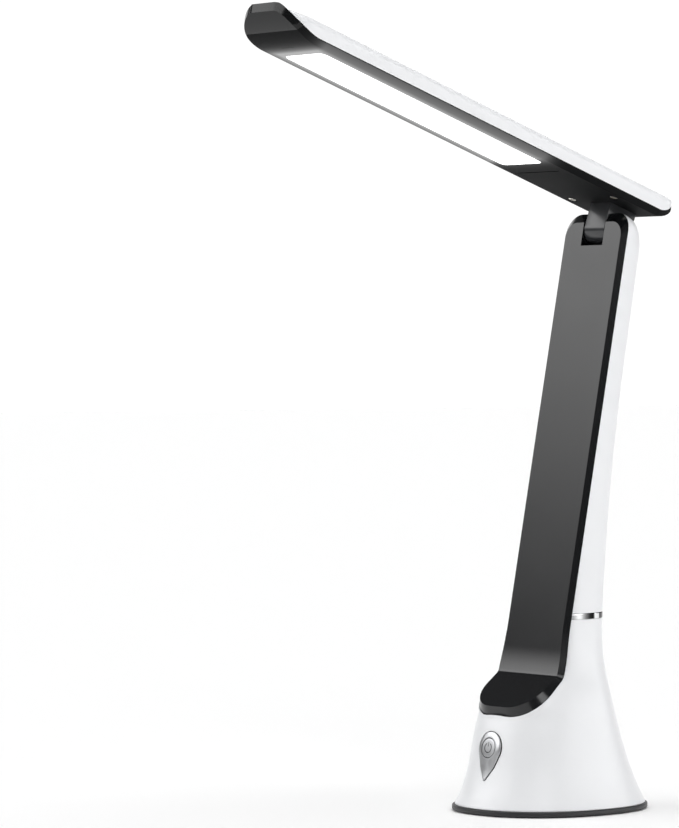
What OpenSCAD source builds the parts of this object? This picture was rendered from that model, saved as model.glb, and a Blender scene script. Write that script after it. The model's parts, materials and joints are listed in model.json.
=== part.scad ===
/* [Base] */
// Length of the base from front to back
base_len = 102; // [96:1:112]
// Width of the base
base_w = 85; // [80:1:96]
// Height at which the lower housing ends and the bright band begins
base_h = 95.5; // [92:0.5:100]
// Wall thickness of the white housings
shell_t = 2; // [1.8:0.1:2.4]
// Height of the dark trim ring at the bottom
ring_h = 2.6; // [2.2:0.1:3.4]
// Width of the trim ring's flange
ring_flange = 4; // [3.6:0.2:5]
// Height of the rubber foot below the trim ring
pad_h = 0.4; // [0.3:0.1:0.8]
// Height of the bright band round the back of the stem
band_h = 3; // [2.4:0.1:4]
// How far the bright band stands out of the white housing
band_proud = 0.2; // [0.1:0.05:0.3]

// Thickness of the collar that joins the housings
collar_t = 1.6; // [1.4:0.1:1.8]
// Height of the collar's root below the band
collar_root = 4; // [3:0.5:5]
// Height of the collar above the band
collar_rise = 6; // [5:0.5:8]

/* [Stem] */
// Height of the hinge above the table
pivot_z = 289.5; // [280:1:300]
// Place of the hinge behind the middle of the base
pivot_y = 37.3; // [34:0.5:40]
// Angle at which the stem leans back
lean = 11.2; // [10:0.2:12.4]
// Width of the stem, the front panel and the head
stem_w = 46.4; // [45:0.2:50]
// Depth of the stem in front of its widest line, at the band
stem_front = 20; // [19:0.5:22]
// Depth of the stem behind its widest line, at the band
stem_back_low = 25; // [24:0.5:28]
// Depth of the stem behind its widest line, at the top
stem_back_top = 20.8; // [20:0.2:23]
// Height of the stem's top above the hinge
top_rise = 8.4; // [8:0.1:9]
// Radius of the stem's top corners seen from the front
cheek_r = 10; // [9:0.5:11]
// Radius of the stem's top seen from the side
crown_r = 20; // [18:0.5:22]
// Softness of the bend where the stem leaves the upright
spine_soft = 18; // [14:1:20]

/* [Front panel] */
// Thickness of the panel and depth of its bevelled rim
panel_t = 2.5; // [2.2:0.1:2.8]
// Distance of the panel's face in front of the hinge
panel_reach = 7.7; // [7.4:0.1:8.2]
// Distance from the hinge to the start of the panel's gentle sweep above the foot
sweep_start = 214; // [210:1:216]
// Radius of the gentle sweep
sweep_r = 140; // [130:5:160]
// Distance from the hinge to the foot's bend
flare_start = 226.3; // [224.8:0.5:227.8]
// Radius of the foot's bend
flare_r = 4; // [3.5:0.25:5]
// Angle between the panel and the foot
flare_angle = 41.3; // [39.3:0.5:43.3]
// Length of the flat foot in front of its bend
foot_len = 26.2; // [25.2:0.5:27.2]
// How much further each side of the panel reaches at the foot than at the stem
foot_spread = 1.3; // [1:0.1:1.5]
// Thickness of the foot at its tip
lip_t = 5; // [4.5:0.25:5.5]
// Radius of the foot's corners
foot_corner = 18.5; // [17:0.5:20]
// Depth of the panel's rounded top edge
brow_t = 3.3; // [2.8:0.1:3.6]
// Length of the panel's rounded top edge
brow_len = 5; // [4:0.25:5.5]

/* [Head] */
// Angle of the head above level, as it stands
head_tilt = 19; // [0:1:40]
// Distance of the head's underside from the hinge
head_rise = 12.2; // [11.8:0.1:13.2]
// Thickness of the head
head_t = 11.5; // [11:0.1:12.4]
// Flat run between the light window and the tip's curl
tip_run = 8.4; // [7.6:0.2:10]
// Radius of the tip's curl
curl_r = 26; // [25:0.5:28]
// Radius of the tip's corners
tip_corner = 15.3; // [13:0.5:17]
// Length of the bevel at the tip
tip_bevel = 4; // [3:0.1:4.5]
// How far the curled tip stands above the flat top
tip_rise = 3; // [2:0.25:3.5]
// Distance from the hinge to the start of the rear curl
tail_start = 11.5; // [11:0.25:13]
// Radius of the rear curl
tail_r = 12.5; // [12.4:0.1:13.5]
// Radius of the rear corners
tail_corner = 5; // [4:0.25:6]
// Length of the bevel at the rear end
tail_bevel = 2.4; // [1.5:0.1:3]
// Depth of the black frame's bevelled rim
frame_t = 2.6; // [2.4:0.1:3]
// Wall thickness of the white top cover
cover_t = 1.6; // [1.3:0.1:1.8]
// Rounding of the top cover's long edges
cover_edge = 4; // [3:0.25:5]
// Length of the light window
window_len = 148.2; // [140:0.6:154]
// Width of the light window
window_w = 30.4; // [28:0.2:32]
// Distance from the hinge to the light window
window_start = 62.2; // [61:0.4:65]
// Corner radius of the light window
window_r = 3.5; // [2.5:0.25:4.5]

/* [Light unit] */
// Width of the ledge by which the diffuser rests on the frame
ledge_w = 1.5; // [1.2:0.1:2]
// Thickness of the diffuser's ledge
ledge_t = 0.8; // [0.6:0.1:1]
// Height of the reflector frame
reflector_h = 2.4; // [2:0.1:2.8]
// Thickness of the light board
led_board_t = 1; // [0.8:0.1:1.2]
// Number of lights along the board
led_count = 12; // [8:1:14]
// Length of one light
led_len = 3.5; // [2.8:0.1:4]
// Width of one light
led_w = 2.8; // [2:0.1:3.2]
// Thickness of one light
led_t = 0.7; // [0.5:0.1:0.9]
// Thickness of the ribs inside the top cover
rib_t = 1.2; // [1:0.1:1.6]

/* [Hinge] */
// Width of the neck between the cheeks
neck_w = 15.2; // [14.6:0.2:16]
// Radius of the neck's barrel
barrel_r = 7.5; // [7.2:0.1:7.7]
// Reach of the neck behind the hinge
neck_back = 10.9; // [10:0.2:11.4]
// Length of the neck's upright rear face
neck_heel = 2.8; // [2.2:0.1:3.4]
// Thickness of the neck's flange inside the head
neck_flange_t = 2.4; // [2:0.1:3]
// Diameter of the hinge pin
pin_d = 5; // [4.6:0.1:5.4]
// Gap between the neck and the stem's slot on each side
slot_gap = 0.4; // [0.35:0.05:0.5]
// Gap below the barrel in the slot
slot_floor_gap = 1.8; // [1.4:0.1:2.2]
// Wall thickness beside and below the slot
slot_wall = 1.6; // [1.4:0.1:1.8]
// Thickness of the steel yoke
yoke_t = 1.6; // [1.4:0.1:1.8]
// Radius of the yoke's ears
ear_r = 4.6; // [4.2:0.1:4.8]
// Thickness of the friction washers
washer_t = 0.8; // [0.6:0.1:1]
// Thickness of the pin's head
pin_head_t = 1.6; // [1.2:0.1:1.8]
// Diameter of the pin's head and of the washers
washer_d = 8.6; // [8:0.1:9]
// Thickness of the pin's nut
nut_t = 2.7; // [2.5:0.1:2.8]
// Width of the pin's nut across its flats
nut_w = 7.6; // [7.4:0.1:7.8]
// Thickness of the shelf that carries the yoke
shelf_t = 5; // [4.6:0.1:6]

/* [Switch] */
// Diameter of the round power button
button_d = 9.6; // [9:0.1:10.4]
// How far the button stands out of the wall
button_proud = 0.7; // [0.5:0.05:0.9]
// Height of the button's middle above the table
button_z = 32.5; // [31:0.5:34]
// Travel of the button
button_travel = 0.6; // [0.4:0.05:0.7]
// Width of the teardrop surround
bezel_w = 17; // [16:0.5:18]
// Length of the teardrop surround
bezel_len = 25; // [24:0.5:26]
// Radius of the teardrop's tip
bezel_tip = 1; // [0.8:0.1:1.3]
// Depth to which the surround is let into the wall
bezel_sink = 1; // [0.8:0.05:1.1]
// How far the surround stands out of the wall
bezel_rise = 0.5; // [0.3:0.05:0.6]
// Distance of the circuit board behind the front wall
board_depth = 12; // [11.5:0.25:13]
// Height of the switch on the circuit board
switch_h = 3.5; // [3.3:0.1:3.8]
// Width of the switch
switch_w = 7; // [6.6:0.2:8]
// Diameter of the switch's plunger
plunger_d = 3; // [2.6:0.1:3.2]

/* [Base fittings] */
// Thickness of the bottom cover
plate_t = 2; // [1.8:0.1:2.4]
// Distance of the rubber foot's edge inside the trim ring
pad_margin = 12; // [12:0.5:14]
// Depth to which the rubber foot is let into the cover
pad_sink = 0.8; // [0.6:0.1:1]
// Thickness of the steel weight
ballast_t = 5; // [4.5:0.25:5.5]
// Gap between the steel weight and the screw bosses beside it
ballast_gap = 1.8; // [1.2:0.1:3]
// Distance of the steel weight's front edge inside the trim ring's flange
ballast_front = 9; // [8.5:0.5:12]
// Gap between the steel weight and the charging board's posts
ballast_back = 4.8; // [3.8:0.2:7]
// Diameter of the battery cell
cell_d = 18.4; // [18:0.2:18.6]
// Length of the battery cell
cell_len = 50; // [48:1:51]
// Place of the battery cell behind the middle of the base
cell_y = 4; // [3:0.5:5]
// Wall thickness of the battery cradle
cradle_t = 1.6; // [1.4:0.1:1.8]
// Height of the battery cradle
cradle_h = 8; // [7:0.5:9]
// Thickness of the circuit boards
board_t = 1.2; // [1:0.1:1.6]
// Width of the charging inlet's opening
socket_w = 9; // [8.6:0.1:9.4]
// Height of the charging inlet
socket_h = 3.2; // [3:0.1:3.4]
// Length of the charging inlet
socket_len = 7.4; // [7:0.1:8]
// Height of the charging board above the table
socket_z = 9; // [8.5:0.25:10]

/* [Fasteners] */
// Diameter of the screws' shanks
screw_d = 2.4; // [2.2:0.1:2.6]
// Diameter of the screws' heads
screw_head_d = 4.4; // [4.2:0.1:4.8]
// Thickness of the screws' heads
screw_head_t = 1.2; // [1.1:0.05:1.3]
// Length of the screws' shanks
screw_len = 7; // [6.5:0.25:8]
// Diameter of the screw bosses
boss_d = 6.4; // [6:0.1:6.6]
// Distance of the base's screws inside the trim ring's flange at either side
base_screw_side = 12.5; // [12:0.25:13]
// Distance of the base's screws inside the trim ring's flange at front and back
base_screw_end = 19; // [18.5:0.5:20]
// Distance of the head's screws from its middle line
head_screw_x = 15.5; // [15:0.25:16]
// Distance of the head's screws from the hinge
head_screw_s = 13.1; // [12.5:0.25:14]

/* [Hidden] */
$fn = 32;

// Overrun of a cut past the face that it opens
over = 1;
// Clearance between pieces that are fitted to each other and do not move
fit = 0.1;
// Running clearance of the pin in its bores
pin_gap = 0.05;
// Clearance of the moving button and plunger in their wells
button_gap = 0.35;
// Width and depth of the fine lines cut into the frame
line_w = 0.8;
line_t = 0.6;

half_w = stem_w / 2;
base_screw_x = base_w / 2 - ring_flange - base_screw_side;
base_screw_y = base_len / 2 - ring_flange - base_screw_end;
window_mid = window_start + window_len / 2;
curl_start = window_start + window_len + tip_run;
lean_tan = tan(lean);
top_z = pivot_z + top_rise;
stem_z = base_h + band_h;
ring_z = pad_h;
shell_z = ring_z + ring_h;
plate_top = ring_z + plate_t;
screw_bore = screw_d + 2 * fit;
head_bore = screw_head_d + 2 * fit;
// Superellipse power of the housing's plan outline
plan_power = 2.2;

// Lower housing: height, then how far each half size is from its stem value to its base value
flare_shares = [
    [0, 1, 1, 1], [0.04, 0.945, 0.945, 0.95], [0.09, 0.865, 0.86, 0.85], [0.15, 0.785, 0.785, 0.735],
    [0.25, 0.675, 0.70, 0.565], [0.36, 0.595, 0.64, 0.40], [0.44, 0.55, 0.59, 0.29], [0.50, 0.505, 0.565, 0.22],
    [0.57, 0.425, 0.525, 0.155], [0.64, 0.325, 0.40, 0.11], [0.71, 0.20, 0.22, 0.075], [0.81, 0.075, 0.065, 0.035],
    [0.90, 0.018, 0.02, 0.012], [1, 0, 0, 0]
];

function mix(a, b, t) = a + (b - a) * t;

// Slope of a table's column at one of its rows
function slope_at(rows, i, col) =
    let(a = max(i - 1, 0), b = min(i + 1, len(rows) - 1))
    (rows[b][col] - rows[a][col]) / (rows[b][0] - rows[a][0]);

// Smooth value of a table's column at a place between its rows
function smooth_at(rows, t, col) =
    let(
        i = max([for (k = [0:len(rows) - 2]) t >= rows[k][0] ? k : 0]),
        gap = rows[i + 1][0] - rows[i][0],
        u = (t - rows[i][0]) / gap,
        m0 = slope_at(rows, i, col) * gap,
        m1 = slope_at(rows, i + 1, col) * gap
    )
    (2 * u ^ 3 - 3 * u ^ 2 + 1) * rows[i][col] + (u ^ 3 - 2 * u ^ 2 + u) * m0
        + (3 * u ^ 2 - 2 * u ^ 3) * rows[i + 1][col] + (u ^ 3 - u ^ 2) * m1;

// Place of the panel's rear face, and of the housing's widest line, at a height
function panel_back_y(z) =
    pivot_y - (panel_reach - panel_t) / cos(lean) - (pivot_z - z) * lean_tan;
function spine_y(z) =
    let(b = panel_back_y(z))
    b > spine_soft ? b : b < -spine_soft ? 0 : (b + spine_soft) ^ 2 / (4 * spine_soft);

// Quarter round: 1 below the start of the round, falling to 0 at the stem's top
function round_off(z, r) = let(u = min(max((z - top_z + r) / r, 0), 1)) sqrt(1 - u ^ 2);

function flare(z, col) = smooth_at(flare_shares, min(max(z / base_h, 0), 1), col);
function stem_share(z) = min(max((z - base_h) / (top_z - base_h), 0), 1);
function side_half(z) =
    mix(half_w, base_w / 2, flare(z, 1)) - cheek_r * (1 - round_off(z, cheek_r));
function front_half(z) = mix(stem_front, base_len / 2, flare(z, 2));
function back_half(z) =
    mix(mix(stem_back_low, stem_back_top, stem_share(z)), base_len / 2, flare(z, 3))
        * round_off(z, crown_r);

function signed_pow(v, e) = sign(v) * abs(v) ^ e;

// Plan outline of the white housing at a height, drawn in by an inset
function plan_ring(z, inset, steps) =
    let(
        w = side_half(z) - inset,
        f = front_half(z) - inset,
        b = max(back_half(z) - inset, fit),
        y = spine_y(z),
        e = 2 / plan_power
    )
    [for (i = [0:steps - 1])
        let(a = 360 * i / steps)
        [w * signed_pow(cos(a), e), y + (sin(a) > 0 ? b : f) * signed_pow(sin(a), e), z]];

// Solid skin through rows of points, capped at both ends
module loft(rows) {
    n = len(rows[0]);
    m = len(rows);
    faces = concat(
        [for (i = [0:m - 2]) for (j = [0:n - 1]) let(k = (j + 1) % n)
            each [[i * n + j, (i + 1) * n + k, i * n + k], [i * n + j, (i + 1) * n + j, (i + 1) * n + k]]],
        [[for (j = [0:n - 1]) j]],
        [[for (j = [0:n - 1]) m * n - 1 - j]]
    );
    polyhedron(points = [for (r = rows) each r], faces = faces, convexity = 6);
}

outer_steps = 32;
inner_steps = 24;
base_levels = 15;
inner_levels = 9;
collar_levels = 2;
stem_levels = 7;
dome_levels = 6;

// White housing between two heights
module body(z0, z1, inset, steps, levels) {
    loft([for (i = [0:levels]) plan_ring(mix(z0, z1, i / levels), inset, steps)]);
}

// Outer form of the lower housing, offset inwards
module base_body(inset) {
    body(shell_z, base_h, inset, outer_steps, base_levels);
}

// Closed form of the stem from the band to its rounded top
module stem_body(z0, inset, steps) {
    cap = max(inset, fit);
    heights = concat(
        [for (i = [0:stem_levels - 1]) mix(z0, top_z - crown_r, i / stem_levels)],
        [for (i = [0:dome_levels]) top_z - crown_r + (crown_r - cap) * sin(90 * i / dome_levels)]
    );
    loft([for (z = heights) plan_ring(z, inset, steps)]);
}

// Point on a skin that runs straight from s0 to s1 and curls by an arc past each end
function curl_point(s, off, level, s0, r0, s1, r1) =
    s > s1 ? let(a = (s - s1) / r1 * 180 / PI)
        [s1 + (r1 - off) * sin(a), level + r1 - (r1 - off) * cos(a)]
    : s < s0 ? let(a = (s0 - s) / r0 * 180 / PI)
        [s0 - (r0 - off) * sin(a), level + r0 - (r0 - off) * cos(a)]
    : [s, level + off];

corner_steps = 7;
curl_steps = 6;
// Places along an outline: first corner, first curl, straight run, last curl, last corner
function stations(e0, e1, c0, c1, s0, s1) = concat(
    [for (i = [0:corner_steps]) e0 + c0 * (1 - cos(90 * i / corner_steps))],
    e0 + c0 < s0 ? [for (i = [1:curl_steps]) mix(e0 + c0, s0, i / curl_steps)] : [],
    [mix(max(e0 + c0, s0), min(e1 - c1, s1), 1 / 2)],
    e1 - c1 > s1 ? [for (i = [0:curl_steps - 1]) mix(s1, e1 - c1, i / curl_steps)] : [],
    [for (i = [0:corner_steps]) e1 - c1 * (1 - sin(90 * i / corner_steps))]
);

// Half width of an outline with rounded ends at a place along it
function outline_half(s, e0, e1, c0, c1, w) =
    s < e0 + c0 ? w - c0 + sqrt(max(c0 ^ 2 - (e0 + c0 - s) ^ 2, 0))
    : s > e1 - c1 ? w - c1 + sqrt(max(c1 ^ 2 - (s - e1 + c1) ^ 2, 0))
    : w;

// Frame of the stem: origin on the hinge, z up along the panel, y to the rear
module at_stem() {
    translate([0, pivot_y, pivot_z]) rotate([-lean, 0, 0]) children();
}

// Frame of the head: origin on the hinge, y to the rear along the head, z square to its underside
module at_head() {
    translate([0, pivot_y, pivot_z]) rotate([-head_tilt, 0, 0]) children();
}

// Frame of the button: origin on the front wall, y up the wall, z out of it
button_y = spine_y(button_z) - front_half(button_z);
button_lean = atan((front_half(button_z - bezel_w / 2) - front_half(button_z + bezel_w / 2)) / bezel_w);
module at_button() {
    translate([0, button_y, button_z]) rotate([90 - button_lean, 0, 0]) children();
}

module rounded_slab(x, y, z, r) {
    linear_extrude(z) union() {
        square([x - 2 * r, y], center = true);
        square([x, y - 2 * r], center = true);
        for (i = [-1, 1], j = [-1, 1]) translate([i * (x / 2 - r), j * (y / 2 - r)]) circle(r, $fn = 24);
    }
}

// Pan-head screw standing on its head, with a cross cut into the head
module screw() {
    slot_len = screw_head_d * 2 / 3;
    slot_deep = screw_head_t / 2;
    difference() {
        cylinder(d = screw_head_d, h = screw_head_t);
        for (turn = [0, 90])
            rotate(turn) translate([-slot_len / 2, -line_w / 2, -over]) cube([slot_len, line_w, slot_deep + over]);
    }
    translate([0, 0, screw_head_t]) cylinder(d = screw_d, h = screw_len);
}

// Clear hole for a screw's shank and a sink for its head
module screw_cut(sink) {
    translate([0, 0, -over]) cylinder(d = head_bore, h = sink + over);
    cylinder(d = screw_bore, h = screw_head_t + screw_len + over);
}

// Front panel: a skin with a bevelled rim, growing to a lip at the foot and a brow at the top
sweep_turn = (flare_start - sweep_start) / sweep_r * 180 / PI;
bend_end = flare_start + flare_r * (flare_angle - sweep_turn) * PI / 180;
flare_end = bend_end + foot_len;
panel_top = (top_rise - (panel_reach - brow_t) * sin(lean)) / cos(lean);
function panel_depth(s) =
    s > bend_end ? mix(panel_t, lip_t, (s - bend_end) / foot_len)
    : s < 0 ? mix(panel_t, brow_t, min(-s / panel_top, 1))
    : panel_t;

// The panel's line seen from the side: straight, gentle sweep, tight bend, flat foot
function arc_step(r, h0, h1) = r * [sin(h1) - sin(h0), cos(h0) - cos(h1)];
function panel_turn(s) =
    s <= sweep_start ? 0
    : s <= flare_start ? (s - sweep_start) / sweep_r * 180 / PI
    : s <= bend_end ? sweep_turn + (s - flare_start) / flare_r * 180 / PI
    : flare_angle;
sweep_place = [sweep_start, 0] + arc_step(sweep_r, 0, sweep_turn);
bend_place = sweep_place + arc_step(flare_r, sweep_turn, flare_angle);
function panel_place(s) =
    s <= sweep_start ? [s, 0]
    : s <= flare_start ? [sweep_start, 0] + arc_step(sweep_r, 0, panel_turn(s))
    : s <= bend_end ? sweep_place + arc_step(flare_r, sweep_turn, panel_turn(s))
    : bend_place + (s - bend_end) * [cos(flare_angle), sin(flare_angle)];
function panel_point(x, s, off) =
    let(p = panel_place(s), a = panel_turn(s))
    [x, -panel_reach - p[1] - off * cos(a), off * sin(a) - p[0]];

// Half width of the panel, which spreads smoothly towards the foot
spread_start = 2 * sweep_start - flare_start;
function panel_half(s) =
    let(u = min(max((s - spread_start) / (flare_start - spread_start), 0), 1))
    half_w + foot_spread * u ^ 2 * (3 - 2 * u);

// Places along the panel: top corners, straight run, spread and sweep, bend, foot's corners
spread_steps = 4;
function panel_stations(e0, e1, c0, c1) = concat(
    [for (i = [0:corner_steps]) e0 + c0 * (1 - cos(90 * i / corner_steps))],
    [for (i = [0:spread_steps - 1]) mix(spread_start, flare_start, i / spread_steps)],
    [for (i = [0:curl_steps - 2]) mix(flare_start, bend_end, i / (curl_steps - 2))],
    [for (i = [0:corner_steps]) e1 - c1 * (1 - sin(90 * i / corner_steps))]
);

// Rows of the panel's skin between its sunk rear face and a front face drawn in by the bevel.
// The front face may be drawn out along one line between the panel's and the foot's upright
panel_way = [0, -cos(flare_angle / 2), sin(flare_angle / 2)];
function panel_rows(grow, front, bevel, brow) =
    let(
        e0 = -panel_top - grow,
        e1 = flare_end + grow,
        c0 = cheek_r - bevel,
        c1 = foot_corner - bevel,
        back = panel_stations(e0, e1, cheek_r, foot_corner),
        face = panel_stations(e0 + brow, e1 - bevel, c0, c1)
    )
    [for (i = [0:len(back) - 1])
        let(
            wb = outline_half(back[i], e0, e1, cheek_r, foot_corner, panel_half(back[i]) + grow),
            wf = outline_half(face[i], e0 + brow, e1 - bevel, c0, c1, panel_half(face[i]) + grow - bevel),
            d = -panel_depth(back[i]) - grow
        )
        [
            panel_point(-wb, back[i], d), panel_point(wb, back[i], d),
            panel_point(wf, face[i], 0) + front * panel_way, panel_point(-wf, face[i], 0) + front * panel_way
        ]];

module panel_pocket() {
    at_stem() loft(panel_rows(fit, pivot_y, 0, 0));
}

// Hinge: the slot between the cheeks, its walls, and the yoke round them
slot_w = neck_w + 2 * slot_gap;
slot_floor = barrel_r + slot_floor_gap;
slot_under = slot_floor + slot_wall + fit;
slot_reach = crown_r + cheek_r;
ear_x = slot_w / 2 + slot_wall + fit;
clamp_x = ear_x + yoke_t;
tab_y = -ear_r / 2;
shelf_z = -slot_under - yoke_t;
yoke_screw_x = ear_x * 2 / 3;

module slot(grow) {
    at_stem() translate([-slot_w / 2 - grow, -slot_reach, -slot_floor - grow])
        cube([slot_w + 2 * grow, 2 * slot_reach, slot_floor + grow + slot_reach]);
}

// Cylinder along the hinge's line between two places
module on_pin(d, x0, x1) {
    translate([x0, 0, 0]) rotate([0, 90, 0]) cylinder(d = d, h = x1 - x0, $fn = 48);
}

module yoke_screw_places() {
    for (side = [-1, 1])
        translate([side * yoke_screw_x, tab_y - screw_head_t, shelf_z - shelf_t / 2]) rotate([-90, 0, 0]) children();
}

// Flat oval piece with the base's outline, drawn in by an inset
module base_oval(inset, z0, z1) {
    loft([for (z = [z0, z1]) [for (p = plan_ring(0, inset, 2 * outer_steps)) [p[0], p[1], z]]]);
}

// Base: trim ring, cover, foot and weight
module base_ring() color("dimgray") difference() {
    loft([for (edge = [[0, ring_h / 4], [1 / 4, 0], [3 / 4, 0], [1, ring_h / 4]])
        [for (p = plan_ring(0, edge[1], 2 * outer_steps)) [p[0], p[1], ring_z + edge[0] * ring_h]]]);
    base_oval(ring_flange, ring_z - over, shell_z + over);
}

module base_screw_places() {
    for (i = [-1, 1], j = [-1, 1]) translate([i * base_screw_x, j * base_screw_y, ring_z]) children();
}

charge_pin_d = 1.8;
charge_post_d = 4;
charge_post_x = 5.5;
charge_board_w = 18;
charge_board_len = 16;
socket_mid = socket_z + board_t + socket_h / 2;
socket_mouth = back_half(socket_mid) - shell_t / 4;
charge_board_y = socket_mouth - shell_t - fit - charge_board_len;

module charge_post_places() {
    for (i = [-1, 1]) translate([i * charge_post_x, charge_board_y + charge_post_d, 0]) children();
}

module bottom_cover() color("dimgray") difference() {
    union() {
        base_oval(ring_flange + fit, ring_z, plate_top);
        charge_post_places() translate([0, 0, ring_z + plate_t / 2]) {
            cylinder(d = charge_post_d, h = socket_z - ring_z - plate_t / 2);
            cylinder(d = charge_pin_d, h = socket_z + board_t - ring_z - plate_t / 2);
        }
    }
    base_oval(ring_flange + pad_margin - fit, ring_z - over, ring_z + pad_sink);
    base_screw_places() screw_cut(screw_head_t);
}

module foot_pad() color("black") base_oval(ring_flange + pad_margin, 0, pad_h + pad_sink);

module cover_screws() color("silver") base_screw_places() screw();

ballast_w = 2 * (base_screw_x - boss_d / 2 - ballast_gap);
ballast_y0 = ring_flange + ballast_front - base_len / 2;
ballast_y1 = charge_board_y + charge_post_d / 2 - ballast_back;
module ballast_plate() color("gray") translate([0, (ballast_y0 + ballast_y1) / 2, plate_top])
    rounded_slab(ballast_w, ballast_y1 - ballast_y0, ballast_t, ballast_w / 6);

// Battery cell and the cradle that carries it on the weight
cell_z = plate_top + ballast_t + cradle_t + cell_d / 2;
cell_nub_d = 6;
cell_nub_t = 1;
module battery_cell() color("steelblue") translate([-cell_len / 2, cell_y, cell_z]) rotate([0, 90, 0]) {
    cylinder(d = cell_d, h = cell_len, $fn = 48);
    translate([0, 0, cell_len - cell_nub_t / 2]) cylinder(d = cell_nub_d, h = cell_nub_t * 3 / 2);
}

module battery_cradle() color("black") difference() {
    len = cell_len + 2 * (cell_nub_t + fit + cradle_t);
    wide = cell_d + 2 * (cradle_t + fit);
    translate([0, cell_y, plate_top + ballast_t]) rounded_slab(len, wide, cradle_h, cradle_t);
    translate([-len / 2 + cradle_t, cell_y, cell_z]) rotate([0, 90, 0])
        cylinder(d = cell_d + 2 * fit, h = len - 2 * cradle_t, $fn = 48);
}

// Charging board on its posts, with the inlet in the rear wall
module charge_board() color("green") difference() {
    translate([0, charge_board_y + charge_board_len / 2, socket_z])
        rounded_slab(charge_board_w, charge_board_len, board_t, board_t);
    charge_post_places() translate([0, 0, socket_z - over]) cylinder(d = charge_pin_d + 2 * fit, h = board_t + 2 * over);
}

module stadium(w, h, deep) {
    linear_extrude(deep) {
        square([w - h, h], center = true);
        for (i = [-1, 1]) translate([i * (w - h) / 2, 0]) circle(d = h);
    }
}

socket_wall = 0.4;
module charge_socket() color("silver") translate([0, socket_mouth, socket_mid]) rotate([90, 0, 0]) {
    difference() {
        stadium(socket_w, socket_h, socket_len);
        translate([0, 0, -over])
            stadium(socket_w - 2 * socket_wall, socket_h - 2 * socket_wall, socket_len - socket_wall + over);
    }
    translate([0, 0, socket_len / 4]) linear_extrude(socket_len * 3 / 4)
        square([socket_w * 2 / 3, socket_h / 4], center = true);
}

// Switch in the frame of the button
board_w = 22;
board_h = 24;
post_d = 4;
post_pin_d = 1.8;
switch_floor = 0.6;
plunger_out = 1;
button_shoulder = shell_t + 3 * button_gap;
shoulder_t = 1;
shoulder_w = 1.2;
shoulder_d = button_d + 2 * shoulder_w;
well_d = button_d + 2 * button_gap;
rod_end = -board_depth + switch_h + plunger_out;
symbol_r = 2.4;
symbol_w = 0.5;
symbol_t = 0.25;

module post_places() {
    for (i = [-1, 1], j = [-1, 1]) translate([i * (board_w - post_d) / 2, j * (board_h - post_d) / 2, 0]) children();
}

// Teardrop outline: round at the button, drawn out to a narrow tip below
belly_place_share = 0.45;
belly_width_share = 0.69;
module teardrop(grow) {
    drop = bezel_len - bezel_w / 2 - bezel_tip;
    hull() {
        circle(bezel_w / 2 + grow);
        translate([0, -drop * belly_place_share]) circle(bezel_w / 2 * belly_width_share + grow);
        translate([0, -drop]) circle(bezel_tip + grow, $fn = 16);
    }
}

module teardrop_prism(grow) {
    at_button() translate([0, 0, -button_shoulder]) linear_extrude(2 * button_shoulder) teardrop(grow);
}

module base_shell() color("white") difference() {
    union() {
        difference() {
            base_body(band_proud);
            body(shell_z - over, base_h - collar_root, shell_t, inner_steps, inner_levels);
            body(base_h - collar_root - over, base_h + over, shell_t + collar_t, inner_steps, collar_levels);
        }
        difference() {
            body(base_h - collar_root, stem_z + collar_rise, shell_t + fit, inner_steps, collar_levels);
            body(base_h - collar_root - over, stem_z + collar_rise + over, shell_t + collar_t, inner_steps, collar_levels);
        }
        intersection() {
            body(plate_top, base_h / 2, shell_t / 2, outer_steps, inner_levels);
            union() {
                base_screw_places() translate([0, 0, plate_top - ring_z]) cylinder(d = boss_d, h = base_h / 2);
                at_button() post_places() translate([0, 0, -board_depth]) cylinder(d = post_d, h = board_depth);
            }
        }
        at_button() post_places() translate([0, 0, -board_depth - board_t]) cylinder(d = post_pin_d, h = 2 * board_t);
    }
    panel_pocket();
    base_screw_places() screw_cut(screw_head_t);
    difference() {
        teardrop_prism(fit);
        base_body(bezel_sink + fit);
    }
    at_button() translate([0, 0, -button_shoulder]) cylinder(d = well_d, h = 2 * button_shoulder, $fn = 48);
    translate([0, socket_mouth + shell_t, socket_mid]) rotate([90, 0, 0])
        stadium(socket_w + 2 * fit, socket_h + 2 * fit, 2 * shell_t + charge_board_len / 2);
}

module button_bezel() color("silver") difference() {
    intersection() {
        base_body(-bezel_rise);
        teardrop_prism(0);
    }
    base_body(bezel_sink);
    at_button() translate([0, 0, -button_shoulder]) cylinder(d = well_d, h = 2 * button_shoulder, $fn = 48);
    at_button() cylinder(r1 = well_d / 2 + line_w, r2 = bezel_w / 2 + line_w, h = 2 * bezel_rise, $fn = 48);
}

module power_button() color("silver") at_button() difference() {
    union() {
        translate([0, 0, -button_shoulder]) cylinder(d = button_d, h = button_shoulder + button_proud / 2, $fn = 48);
        translate([0, 0, button_proud / 2])
            cylinder(d1 = button_d, d2 = button_d - button_proud, h = button_proud / 2, $fn = 48);
        translate([0, 0, -button_shoulder - shoulder_t]) cylinder(d = shoulder_d, h = shoulder_t, $fn = 48);
        translate([0, 0, rod_end]) cylinder(d = plunger_d, h = -rod_end - button_shoulder);
    }
    translate([0, 0, button_proud - symbol_t]) linear_extrude(symbol_t + over) {
        difference() {
            circle(symbol_r + symbol_w / 2);
            circle(symbol_r - symbol_w / 2);
            translate([-symbol_w * 3 / 2, 0]) square([3 * symbol_w, 2 * symbol_r]);
        }
        translate([-symbol_w / 2, symbol_w]) square([symbol_w, symbol_r]);
    }
}

module control_board() color("green") at_button() difference() {
    translate([0, 0, -board_depth - board_t]) rounded_slab(board_w, board_h, board_t, post_d / 2);
    post_places() translate([0, 0, -board_depth - board_t - over])
        cylinder(d = post_pin_d + 2 * fit, h = board_t + 2 * over);
}

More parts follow.
